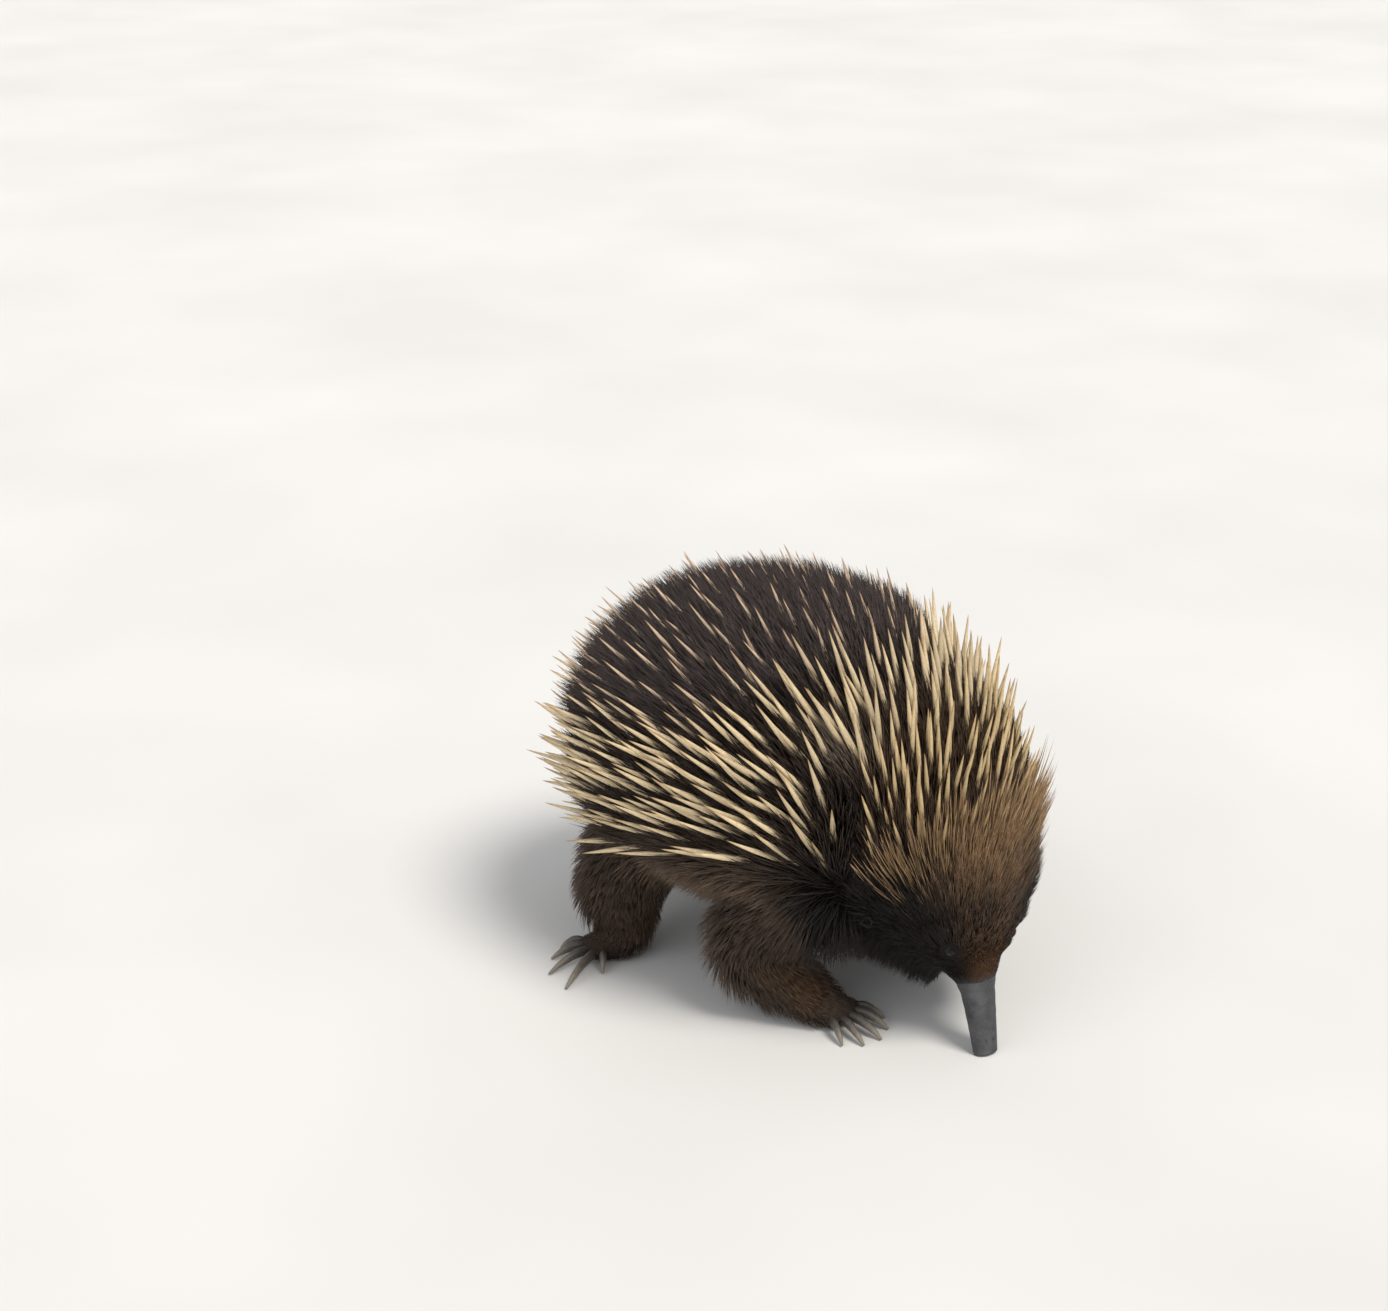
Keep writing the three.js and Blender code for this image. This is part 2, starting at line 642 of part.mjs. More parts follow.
const LEG_ROWS = 10;
const LEG_SIDES = 14;
function addLeg(leg, side, claws) {
  const form = limbForm(placesOf(leg, side), leg.sizes, leg.across);
  const shape = limbSkin(form, LEG_ROWS, LEG_SIDES);
  claws.claws.forEach((claw, k) => {
    const nail = limbForm(...clawPlaces(claws, claw, side.sign, leg.step[side.name]));
    lines.push({ node: "claw", radius: claw.wide, from: nail(0, 0).point, to: nail(1, 0).point });
    const solid = clearOf(solidOf(limbSkin(nail, CLAW_ROWS, CLAW_SIDES)), [shape]);
    addNode(`${leg.name}_claw_${k + 1}_${side.name}`, solid, CLAW_HORN);
  });
  const furred = joined(solidOf(shape), legLocks(form, side.sign));
  addNode(`${leg.name}_${side.name}`, clearOf(furred, [wholeShape]), FUR);
}
SIDES.forEach((side) => {
  addLeg(FORELEG, side, FORE_CLAWS);
  addLeg(HINDLEG, side, HIND_CLAWS);
});

// The origin comes under the middle of the whole animal.
echidna.updateMatrixWorld(true);
const middle = new THREE.Box3().setFromObject(echidna).getCenter(new THREE.Vector3());
echidna.position.set(-middle.x, -middle.y, 0);
echidna.updateMatrixWorld(true);
export default echidna;
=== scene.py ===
"""The looks of a short-beaked echidna: one skin under fur and spines, with its beak, eyes, ears and claws."""

import json
import math
from itertools import product
from types import SimpleNamespace

import bpy
import numpy as np
from mathutils import Matrix, Vector
from mathutils.kdtree import KDTree

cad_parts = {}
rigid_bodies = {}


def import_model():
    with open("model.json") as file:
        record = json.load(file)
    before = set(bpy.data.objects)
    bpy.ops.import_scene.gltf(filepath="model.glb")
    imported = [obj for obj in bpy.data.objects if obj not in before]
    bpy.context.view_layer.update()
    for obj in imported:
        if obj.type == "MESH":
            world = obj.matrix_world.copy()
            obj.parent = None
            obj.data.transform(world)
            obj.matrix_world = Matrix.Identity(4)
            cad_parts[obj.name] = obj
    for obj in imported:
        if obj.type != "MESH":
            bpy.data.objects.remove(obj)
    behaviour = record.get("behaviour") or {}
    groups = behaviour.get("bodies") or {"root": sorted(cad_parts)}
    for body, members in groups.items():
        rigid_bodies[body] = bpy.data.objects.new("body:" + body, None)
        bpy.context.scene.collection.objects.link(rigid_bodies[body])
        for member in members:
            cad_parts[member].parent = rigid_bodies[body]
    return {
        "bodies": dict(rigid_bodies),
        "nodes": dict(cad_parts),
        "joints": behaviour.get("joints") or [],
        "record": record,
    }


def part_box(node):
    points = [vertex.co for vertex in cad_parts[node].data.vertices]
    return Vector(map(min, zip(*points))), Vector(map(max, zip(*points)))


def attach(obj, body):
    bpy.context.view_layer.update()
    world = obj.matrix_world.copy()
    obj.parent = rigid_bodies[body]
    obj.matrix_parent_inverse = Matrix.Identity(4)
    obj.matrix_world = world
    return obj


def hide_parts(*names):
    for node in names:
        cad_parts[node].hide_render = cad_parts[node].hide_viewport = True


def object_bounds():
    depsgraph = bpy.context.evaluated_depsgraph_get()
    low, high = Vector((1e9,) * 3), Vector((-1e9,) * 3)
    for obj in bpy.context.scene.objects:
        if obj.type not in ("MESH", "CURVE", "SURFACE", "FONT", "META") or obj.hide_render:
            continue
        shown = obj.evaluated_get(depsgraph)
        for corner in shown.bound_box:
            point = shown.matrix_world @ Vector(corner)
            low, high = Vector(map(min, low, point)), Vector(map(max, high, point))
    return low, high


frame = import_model()
cad_low, cad_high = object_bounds()

# Lengths below are in millimetres, in the animal's own frame: x to its left, y behind it, z up.
MM = 0.001
RANDOM = np.random.default_rng(20417)
DENSITY = 1.0

# Sections of the body from rump to beak tip: place (forward, left, up), half width with height above and
# below the place, turn to the right in degrees, and depth of the coat.
BACKBONE = [
    ((-118, 0, 82), (8, 8, 8), 0, 46),
    ((-110, 0, 86), (33, 33, 28), 0, 47),
    ((-90, 0, 94), (57, 59, 46), 0, 47),
    ((-56, 0, 104), (74, 77, 58), 0, 45),
    ((-12, 0, 109), (80, 84, 62), 0, 41),
    ((32, 0, 107), (76, 81, 60), 0, 39),
    ((66, -1, 100), (65, 69, 55), 3, 36),
    ((90, -4, 88), (51, 54, 48), 9, 27),
    ((107, -8, 74), (38, 38, 38), 15, 16),
    ((118, -12, 61), (26, 26, 25), 19, 9),
    ((126.5, -15, 47), (14, 13.5, 13.5), 20, 0),
    ((132, -17, 34), (9.6, 8.6, 8), 20, 0),
    ((137, -19, 18), (8.2, 6.6, 6), 20, 0),
    ((141, -20, 0.5), (7, 5.2, 4.8), 20, 0),
]
LAST = len(BACKBONE) - 1
SECTION_POWER = 0.94  # below 1 the sections are a little fuller than ovals
COAT_FULL_ABOVE, COAT_THIN_BELOW = -0.35, -0.85  # sines of the angle round the section
BELLY_SHARE = 0.18  # share of the coat's depth that is left under the belly
SOLID_SHARE = 0.45  # share of the coat that the solids' core takes up
SKIN_SHARE = 0.1  # share of the coat at which the skin lies
SKIN_TO = 11.2  # station where the furred skin ends on the beak
BEAK_FROM = 10.2  # station where the beak starts, inside the head

FORELEG = {
    "name": "foreleg",
    "places": [(56, 40, 88), (28, 62, 62), (22, 68, 42), (37, 60, 24), (52, 52, 11), (66, 48, 6)],
    "sizes": [(30, 32), (28, 30), (25, 24), (20, 19), (16, 12), (14, 8)],
    "across": (1, 0, 0),
    "step": {"right": 0, "left": -16},
    "hub": (49, 48),
    "reach": 22.5,
    "claws": [(-31, 14, 2.1), (-15.5, 19, 2.3), (0, 21, 2.4), (15.5, 19, 2.3), (31, 14, 2.1)],
}
HINDLEG = {
    "name": "hindleg",
    "places": [(-64, 44, 82), (-78, 58, 58), (-82, 63, 38), (-80, 64, 20), (-81, 70, 9), (-85, 82, 6)],
    "sizes": [(32, 32), (30, 31), (27, 28), (20, 21), (16, 12), (14, 8)],
    "across": (0, 1, 0),
    "step": {"right": 0, "left": 14},
    "hub": (-84, 78),
    "reach": 14,
    "claws": [(50, 9, 2.2), (76, 31, 2.4), (101, 25, 2.4), (126, 17, 2.2), (151, 12, 2.1)],
}
SIDES = {"right": -1, "left": 1}
LEGS = [(leg, side) for leg in (FORELEG, HINDLEG) for side in SIDES]
TAIL_PLACES = [(-90, 0, 64), (-112, 0, 56), (-130, 0, 46)]
TAIL_SIZES = [(17, 14), (13, 11), (7, 6)]
EYE_STATION, EYE_ANGLE, EYE_RADIUS, EYE_SUNK = 9.3, 0.62, 3.8, 1.5
EAR_STATION, EAR_ANGLE, EAR_RADIUS, EAR_SUNK = 7.4, -0.08, 6.5, 2.0
CLAW_SUNK = 2.5


def srgb(red, green, blue):
    """A colour given as it looks on a screen, from 0 to 255, as the linear values that nodes take."""
    shares = np.array([red, green, blue]) / 255
    return np.where(shares <= 0.04045, shares / 12.92, ((shares + 0.055) / 1.055) ** 2.4)


BACK_HAIR = srgb(74, 63, 59)
FLANK_HAIR = srgb(58, 45, 36)
UNDER_HAIR = srgb(128, 106, 86)
NECK_HAIR = srgb(74, 55, 38)
HEAD_HAIR = srgb(94, 70, 50)
# Crown hair: lighter, as painted sunlight on the top of the head.
SUNLIT_CROWN_HAIR = srgb(142, 110, 78)
FACE_HAIR = srgb(98, 68, 45)
# Throat hair: dark fur, made darker still as painted shade under the head and neck.
SHADED_THROAT_HAIR = srgb(32, 26, 22)
LEG_HAIR = srgb(96, 80, 66)
LEG_FRONT_HAIR = srgb(122, 91, 63)
DUSTY_HAIR = srgb(150, 134, 118)
BARE_SKIN = srgb(32, 27, 25)
BEAK_SKIN = srgb(74, 74, 75)
BACK_SPINE = srgb(214, 188, 160)
FLANK_SPINE = srgb(228, 207, 168)
RUMP_SPINE = srgb(218, 200, 164)
NECK_SPINE = srgb(224, 198, 150)
BRISTLE = srgb(176, 144, 104)


def unit(vectors):
    return vectors / np.maximum(np.linalg.norm(vectors, axis=-1, keepdims=True), 1e-9)


def dot(first, second):
    return np.sum(first * second, axis=-1, keepdims=True)


def smoothstep(value, low, high):
    share = np.clip((value - low) / (high - low), 0, 1)
    return share * share * (3 - 2 * share)


def fade(value, low, high):
    return 1 - smoothstep(value, low, high)


def bell(distance, width):
    return np.exp(-((distance / width) ** 2))


def mix(first, second, share):
    share = np.asarray(share)[..., None]
    return first * (1 - share) + second * share


def placed(forward, left, up):
    return (left, -forward, up)


def smooth_line(points, t):
    """Points of a smooth curve through the given ones, at shares t of its stretches."""
    points = np.asarray(points, float)
    ends = np.vstack([2 * points[0] - points[1], points, 2 * points[-1] - points[-2]])
    place = np.clip(t, 0, 1) * (len(points) - 1)
    first = np.minimum(place.astype(int), len(points) - 2)
    share = (place - first)[..., None]
    p0, p1, p2, p3 = (ends[first + k] for k in range(4))
    d0, d1, d2 = (
        np.sqrt(np.linalg.norm(b - a, axis=-1, keepdims=True)) for a, b in ((p0, p1), (p1, p2), (p2, p3))
    )
    d1 = np.where(d1 < 1e-4, 1.0, d1)
    d0 = np.where(d0 < 1e-4, d1, d0)
    d2 = np.where(d2 < 1e-4, d1, d2)
    start = d1 * ((p1 - p0) / d0 - (p2 - p0) / (d0 + d1) + (p2 - p1) / d1)
    end = d1 * ((p2 - p1) / d1 - (p3 - p1) / (d1 + d2) + (p3 - p2) / d2)
    square = -3 * p1 + 3 * p2 - 2 * start - end
    cube = 2 * p1 - 2 * p2 + start + end
    return p1 + start * share + square * share**2 + cube * share**3


def heading(points, t):
    """The direction of that curve."""
    step = 1e-4
    return unit(smooth_line(points, np.minimum(t + step, 1)) - smooth_line(points, np.maximum(t - step, 0)))


BODY_LINE = [placed(*row[0]) for row in BACKBONE]
BODY_SIZE = [row[1] for row in BACKBONE]
BODY_DRESS = [(row[2], row[3], 0) for row in BACKBONE]


def body_section(t):
    """Place, direction ahead, left, up, half sizes and coat of the body's section at t."""
    dress = smooth_line(BODY_DRESS, t)
    turn = np.radians(dress[..., 0])
    ahead = heading(BODY_LINE, t)
    left = np.stack([np.cos(turn), -np.sin(turn), np.zeros_like(turn)], axis=-1)
    up = unit(np.cross(ahead, left))
    left = unit(np.cross(up, ahead))
    return smooth_line(BODY_LINE, t), ahead, left, up, smooth_line(BODY_SIZE, t), dress[..., 1]


def skin_point(t, angle):
    """A point of the bare body: angle 0 is its left side and a quarter turn is its back."""
    place, _, left, up, size, _ = body_section(t)
    wide, high = np.cos(angle), np.sin(angle)
    across = size[..., 0] * np.sign(wide) * np.abs(wide) ** SECTION_POWER
    rise = np.where(high > 0, size[..., 1], size[..., 2]) * np.sign(high) * np.abs(high) ** SECTION_POWER
    return place + left * across[..., None] + up * rise[..., None]


def skin_normal(t, angle):
    step = 0.01
    along = skin_point(np.minimum(t + step, 1), angle) - skin_point(np.maximum(t - step, 0), angle)
    around = skin_point(t, angle + step) - skin_point(t, angle - step)
    return unit(np.cross(around, along))


def coat_depth(t, angle):
    full = smoothstep(np.sin(angle), COAT_THIN_BELOW, COAT_FULL_ABOVE)
    return body_section(t)[5] * (BELLY_SHARE + (1 - BELLY_SHARE) * full)


def coat_point(t, angle, share):
    return skin_point(t, angle) + skin_normal(t, angle) * (coat_depth(t, angle) * share)[..., None]


class Limb:
    """A leg, tail or claw: a smooth line through places with an oval section at each."""

    def __init__(self, places, sizes, across):
        self.line = [placed(*place) for place in places]
        self.sizes = sizes
        self.across = np.asarray(across, float)

    def surface(self, t, angle, inset=0.0):
        """Point, direction along the limb and direction out of it."""
        ahead = heading(self.line, t)
        side = unit(self.across - ahead * dot(ahead, self.across))
        rise = np.cross(ahead, side)
        size = smooth_line([(*s, 0) for s in self.sizes], t)
        wide = (size[..., 0] - inset)[..., None]
        high = (size[..., 1] - inset)[..., None]
        cosine, sine = np.cos(angle)[..., None], np.sin(angle)[..., None]
        point = smooth_line(self.line, t) + side * wide * cosine + rise * high * sine
        return point, ahead, unit(side * cosine / wide + rise * sine / high)


TAIL = Limb(TAIL_PLACES, TAIL_SIZES, (1, 0, 0))


def leg_limb(leg, side):
    last = len(leg["places"]) - 1
    sign, step = SIDES[side], leg["step"][side]
    places = [(f + step * k / last, out * sign, up) for k, (f, out, up) in enumerate(leg["places"])]
    return Limb(places, leg["sizes"], leg["across"])


def surface_frame(station, angle, sign, sunk):
    """Centre and directions on the solids' surface: along the body, straight out, and across."""
    t = np.array([station / LAST])
    angle = np.array([angle if sign > 0 else math.pi - angle])
    out = skin_normal(t, angle)[0]
    across = unit(np.cross(out, body_section(t)[1][0]))
    along = unit(np.cross(across, out))
    centre = coat_point(t, angle, SOLID_SHARE)[0] - out * sunk
    return centre, along, out, np.cross(along, out)


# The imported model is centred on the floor, so its eye tells how far this frame is moved.
eye_frames = {side: surface_frame(EYE_STATION, EYE_ANGLE, sign, EYE_SUNK) for side, sign in SIDES.items()}
ear_frames = {side: surface_frame(EAR_STATION, EAR_ANGLE, sign, EAR_SUNK) for side, sign in SIDES.items()}
eye_low, eye_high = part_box("eye_right")
OFFSET = eye_frames["right"][0] - np.array((eye_low + eye_high) / 2) / MM
BOX_CLEAR, FLOOR_CLEAR = 0.4, 0.3
BOX_LOW = np.array(cad_low) / MM + OFFSET + BOX_CLEAR
BOX_HIGH = np.array(cad_high) / MM + OFFSET - BOX_CLEAR
BOX_LOW[2] = OFFSET[2] + FLOOR_CLEAR


def lift_off_floor(points):
    points[..., 2] = np.maximum(points[..., 2], FLOOR_CLEAR / 2)


# Meshes

def fill(data, key, values):
    data.foreach_set(key, np.asarray(values, np.float32).ravel())


def build_mesh(name, points, polygons, colours=None, along=None, patches=None):
    """A mesh from points and arrays of equally long polygons, with its point attributes and unwrap."""
    mesh = bpy.data.meshes.new(name)
    mesh.vertices.add(len(points))
    fill(mesh.vertices, "co", (points - OFFSET) * MM)
    corners = np.concatenate([group.ravel() for group in polygons]).astype(np.int32)
    counts = np.concatenate([np.full(len(group), group.shape[1]) for group in polygons])
    starts = np.concatenate([[0], np.cumsum(counts)[:-1]]).astype(np.int32)
    mesh.loops.add(len(corners))
    mesh.loops.foreach_set("vertex_index", corners)
    mesh.polygons.add(len(counts))
    mesh.polygons.foreach_set("loop_start", starts)
    mesh.update(calc_edges=True)
    mesh.shade_smooth()
    if colours is not None:
        paint = mesh.attributes.new("coat_colour", "FLOAT_COLOR", "POINT")
        fill(paint.data, "color", np.concatenate([colours, np.ones((len(colours), 1))], axis=1))
    if along is not None:
        share = mesh.attributes.new("along", "FLOAT", "POINT")
        fill(share.data, "value", along)
    if patches is not None:
        layer = mesh.uv_layers.new(name="OFBake")
        fill(layer.data, "uv", patches[corners])
    return mesh


def new_object(name, data):
    made = bpy.data.objects.new(name, data)
    bpy.context.scene.collection.objects.link(made)
    return made


def add_piece(name, material, slot, points, polygons, colours=None, along=None, patches=None, nodes=()):
    """A visible piece of the echidna, shown in place of the given nodes."""
    piece = new_object(name, build_mesh(name, points, polygons, colours, along, patches))
    piece.data.materials.append(material)
    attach(piece, "root")
    if nodes:
        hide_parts(*nodes)


def ring_quads(rows, sides, joined=False):
    """Faces between neighbouring rings of a grid, and from its last ring to the first if they are joined."""
    row, side = np.meshgrid(np.arange(rows if joined else rows - 1), np.arange(sides), indexing="ij")
    after, beside = (row + 1) % rows, (side + 1) % sides
    corners = ((row, side), (row, beside), (after, beside), (after, side))
    return np.stack([ring * sides + place for ring, place in corners], axis=-1).reshape(-1, 4)


def tube(grid):
    """Points and faces of a closed tube over a grid of rings, with a fan at each end."""
    rows, sides = grid.shape[:2]
    points = np.vstack([grid.reshape(-1, 3), grid[0].mean(0), grid[-1].mean(0)])
    ring = np.arange(sides)
    after = (ring + 1) % sides
    start = (rows - 1) * sides
    near = np.stack([after, ring, np.full(sides, rows * sides)], axis=1)
    far = np.stack([start + ring, start + after, np.full(sides, rows * sides + 1)], axis=1)
    return points, outward(points, [ring_quads(rows, sides), np.vstack([near, far])])


def band(grid):
    """Points and faces of a grid of rings whose last ring joins its first one."""
    points = grid.reshape(-1, 3)
    return points, outward(points, [ring_quads(*grid.shape[:2], joined=True)])


def outward(points, polygons):
    """The same polygons, turned over together where they face into the shape they enclose."""
    quads = polygons[0]
    a, b, c = (points[quads[:, k]] for k in range(3))
    centre = points.mean(0)
    volume = np.sum((a - centre) * np.cross(b - centre, c - centre))
    return polygons if volume > 0 else [group[:, ::-1] for group in polygons]


# Skin

SKIN_VOXEL = 2.3
SMOOTHING = 6
LEG_INSET = (5.0, 1.4)  # depth of the fur at the top of a leg and at its foot
TAIL_INSET = 3.0


def turns(count):
    return np.linspace(0, 2 * math.pi, count, endpoint=False)


def grid_of(rows, sides):
    return np.meshgrid(rows, turns(sides), indexing="ij")


def leg_inset(t):
    return LEG_INSET[0] + (LEG_INSET[1] - LEG_INSET[0]) * smoothstep(t, 0.35, 0.85)


def toe_line(leg, side, angle):
    """A function for places out along a toe, by distance past its root and height, and its direction."""
    turn, sign = math.radians(angle), SIDES[side]
    hub, reach, step = leg["hub"], leg["reach"], leg["step"][side]

    def place(out, up):
        distance = reach + out
        forward = hub[0] + step + distance * math.cos(turn)
        return (forward, sign * (hub[1] + distance * math.sin(turn)), up)

    return place, (math.cos(turn), sign * math.sin(turn), 0)


def claw_limb(leg, side, claw):
    """One claw as a limb: places out from its toe, narrowing to a blunt tip by the ground."""
    angle, length, wide = claw
    place, direction = toe_line(leg, side, angle)
    places = [place(-CLAW_SUNK, 7), place(length * 0.25, 7.5), place(length * 0.7, 4.6), place(length, 1.2)]
    sizes = [(wide, 3), (wide, 2.8), (wide * 0.75, 1.9), (wide * 0.3, 0.7)]
    return Limb(places, sizes, direction)


def toe_shape(leg, side, claw):
    """A short round toe from the foot to just over the root of its claw."""
    angle, _, wide = claw
    place, direction = toe_line(leg, side, angle)
    places = [place(out, 7.2) for out in (-14, -6, 1.5)]
    sizes = [(wide * 1.5, 4.5), (wide * 1.9, 5.2), (wide * 1.25, 3.7)]
    return Limb(places, sizes, direction)


def skin_shapes():
    """Closed shapes that the skin joins: body, legs with their toes, and tail."""
    t, angle = grid_of(np.linspace(0, SKIN_TO / LAST, 100), 64)
    tucked = 2.0 * smoothstep(t * LAST, SKIN_TO - 0.7, SKIN_TO)
    yield coat_point(t, angle, SKIN_SHARE) + skin_normal(t, angle) * (0.5 - tucked)[..., None]
    for leg, side in LEGS:
        t, angle = grid_of(np.linspace(0, 1, 40), 36)
        yield leg_limb(leg, side).surface(t, angle, leg_inset(t))[0]
        for claw in leg["claws"]:
            t, angle = grid_of(np.linspace(0, 1, 8), 12)
            yield toe_shape(leg, side, claw).surface(t, angle)[0]
    t, angle = grid_of(np.linspace(0, 1, 20), 24)
    yield TAIL.surface(t, angle, TAIL_INSET)[0]


def joined_skin():
    """Points and faces of one closed skin over all the shapes."""
    points, quads, fans, start = [], [], [], 0
    for grid in skin_shapes():
        shape, (sides, ends) = tube(grid)
        points.append(shape)
        quads.append(sides + start)
        fans.append(ends + start)
        start += len(shape)
    rough = build_mesh("rough_skin", np.vstack(points), [np.vstack(quads), np.vstack(fans)])
    holder = new_object("rough_skin", rough)
    remesh = holder.modifiers.new("remesh", "REMESH")
    remesh.mode = "VOXEL"
    remesh.voxel_size = SKIN_VOXEL * MM
    fine = bpy.data.meshes.new_from_object(holder.evaluated_get(bpy.context.evaluated_depsgraph_get()))
    co = np.empty(len(fine.vertices) * 3, np.float32)
    fine.vertices.foreach_get("co", co)
    corners = np.empty(len(fine.loops), np.int32)
    fine.loops.foreach_get("vertex_index", corners)
    bpy.data.objects.remove(holder)
    bpy.data.meshes.remove(rough)
    bpy.data.meshes.remove(fine)
    return co.reshape(-1, 3).astype(float) / MM + OFFSET, corners.reshape(-1, 4)


def averaged(values, quads, times):
    """Values at the points, each drawn to the mean of its neighbours a few times."""
    first, second = quads.ravel(), np.roll(quads, -1, axis=1).ravel()
    count = len(values)

    def sums(places, weights=None):
        return np.bincount(places, weights, count)

    degree = sums(first) + sums(second)
    flat = values.reshape(count, -1)
    for _ in range(times):
        total = [sums(first, column[second]) + sums(second, column[first]) for column in flat.T]
        flat = 0.4 * flat + 0.6 * np.stack(total, axis=1) / degree[:, None]
    return flat.reshape(values.shape)


def quad_crosses(points, quads):
    """The cross product of each face's diagonals: along its normal and twice as long as its area."""
    a, b, c, d = (points[quads[:, k]] for k in range(4))
    return np.cross(c - a, d - b)


def point_normals(points, quads):
    face = quad_crosses(points, quads)
    normals = np.zeros_like(points)
    for k in range(4):
        for axis in range(3):
            normals[:, axis] += np.bincount(quads[:, k], weights=face[:, axis], minlength=len(points))
    return unit(normals)


# The coat's lie, depth and colour, first at sample places of the body, legs and tail

# Stations between which the rump ends and the neck, head and face begin
RUMP, NECK, HEAD, FACE = (0.5, 2.6), (5.5, 6.3), (6.9, 7.8), (8.4, 10.0)
FOLD_STATION, FOLD_SLANT, FOLD_WIDTH = 6.85, 1.25, 0.3
FOLD_SPAN = (-0.5, -0.2, 0.55, 0.8)  # heights round the section where it comes in and where it ends


def fold_share(station, side, span):
    """1 along the middle of the fold behind the neck, 0 away from it and past the ends of its span."""
    across = bell(station - FOLD_STATION + FOLD_SLANT * side, FOLD_WIDTH)
    return across * (smoothstep(side, *span[:2]) * fade(side, *span[2:]))


def spine_edge(station):
    """Lower edge of the spines round the section."""
    return -0.68 + 0.62 * np.clip(station / 6, 0, 1)


def body_coat(t, angle):
    """The coat at places of the body, as a dictionary of arrays."""
    ahead = body_section(t)[1]
    station = t * LAST
    side = np.arcsin(np.clip(np.sin(angle), -1, 1))  # 0 on the flank, a quarter turn on the back
    depth = coat_depth(t, angle)
    edge = spine_edge(station)
    above = smoothstep(side, edge - 0.08, edge + 0.12)
    back_from = 0.32 + smoothstep(station, 4.2, 5.9)
    back = smoothstep(side, back_from, back_from + 0.3)
    back *= smoothstep(station, 1.5, 2.9) * fade(station, 5.2, 5.8)
    neck = smoothstep(station, *NECK)
    head = smoothstep(station, *HEAD)
    face = smoothstep(station, *FACE)
    rump = fade(station, *RUMP)
    throat = smoothstep(station, 6.2, 7.0) * fade(side, -0.3, 0.1)
    throat *= fade(station, 9.5, 10.5)
    skirt = (1 - above) * smoothstep(side, -1.0, -0.6) * smoothstep(station, 2.0, 3.2)
    skirt *= fade(station, 5.6, 6.2)
    fold = fold_share(station, side, FOLD_SPAN)

    share = 0.54 + 0.32 * back - 0.1 * rump + 0.3 * smoothstep(station, 7.4, 8.5)
    share = share * (1 - 0.45 * fold)
    height = depth * (share * above + 0.75 * (1 - above) * (1 - head) + 0.85 * head * (1 - above))
    height = height * (1 - skirt) + 13 * skirt
    height = height * (1 - throat) + (24 - 8 * face) * throat
    height = height + 1.8 * smoothstep(station, 9.0, 10.0) * (1 - 0.6 * smoothstep(station, 10.2, 10.9))

    upward = (0.65 - 0.5 * rump) * (1 - neck) + 1.7 * neck * (1 - head) + 0.9 * head
    upward = upward * smoothstep(side, -1.0, -0.3) * above
    downward = 1.2 * (1 - above) ** 2 * (1 - head) + 2.4 * throat
    backward = 1 - 0.55 * neck * (1 - head)
    lie = -ahead * backward[..., None] + np.array([0.0, 0.0, 1.0]) * (upward - downward)[..., None]
    on_side = fade(side, 0.5, 1.2)

    colour = mix(FLANK_HAIR, BACK_HAIR, back)
    colour = mix(colour, mix(FLANK_HAIR, NECK_HAIR, smoothstep(side, 0.1, 1.0)), neck)
    # The top of the head is lighter: painted sunlight on the crown.
    crown = mix(HEAD_HAIR, SUNLIT_CROWN_HAIR, smoothstep(side, 0.9, 1.4))
    # Painted shade: the head darkens towards the face, which points down away from the light.
    crown = mix(crown, HEAD_HAIR * 0.62, smoothstep(station, 7.7, 8.8))
    crown = mix(crown, FACE_HAIR, smoothstep(station, 9.0, 9.9))
    # The lower sides of the head and the underside of the neck take the throat hair, with its painted shade
    # under the head.
    colour = mix(colour, mix(SHADED_THROAT_HAIR, crown, smoothstep(side, 0.4, 1.3)), head)
    colour = mix(mix(UNDER_HAIR, SHADED_THROAT_HAIR, neck), colour, np.maximum(above, head))
    # Painted shade in the fold behind the neck.
    colour = mix(colour, SHADED_THROAT_HAIR * 0.7, fold)
    dusty = bell(station - 5.75, 0.28) * bell(side - 0.82, 0.12)
    colour = mix(colour, DUSTY_HAIR, 0.8 * dusty)
    colour = mix(colour, BEAK_SKIN, 0.7 * smoothstep(station, 10.2, 10.9))
    return {
        "lie": unit(lie),
        "height": height,
        "depth": depth,
        "lean": (1.35 - 0.5 * back + 0.5 * neck * on_side + 0.3 * head) * (1 - 0.4 * throat)
        + 0.8 * (1 - above) * (1 - throat),
        "spine_lean": 1.1 - 0.3 * back + 0.2 * rump + 0.8 * neck * on_side,
        "longest": 46 - 14 * skirt - 22 * throat * (1 - skirt) - (20 * head + 13 * face) * (1 - throat),
        "colour": colour,
        "spiny": above * (1 - np.clip(2.2 * fold, 0, 1)) * fade(station, 7.2, 8.0),
        "back": back,
        "station": station,
        "side": side,
        "leg": np.zeros_like(t),
    }


def leg_coat(t, angle, limb, name):
    """The coat at places of a leg."""
    _, ahead, out = limb.surface(t, angle)
    forward = -out[..., 1]
    front = smoothstep(forward, 0.15, 0.95) * smoothstep(t, 0.3, 0.6) * fade(t, 0.7, 0.95)
    colour = mix(LEG_HAIR, LEG_FRONT_HAIR, front * (0.8 if name == "foreleg" else 0.15))
    behind = smoothstep(-forward, -0.1, 0.7) * fade(t, 0.5, 0.85)
    height = leg_inset(t) * 1.2 + (9 if name == "foreleg" else 4) * behind
    height = np.maximum(height, 5.2 * fade(t, 0.8, 0.98))
    level = {"lean": 1.8, "spine_lean": 1, "spiny": 0, "back": 0, "station": -1, "side": -1, "leg": 1}
    return {
        "lie": ahead,
        "height": height,
        "depth": height,
        "longest": 11 + 15 * fade(t, 0.4, 0.95),
        "colour": colour,
        **{key: value + np.zeros_like(t) for key, value in level.items()},
    }


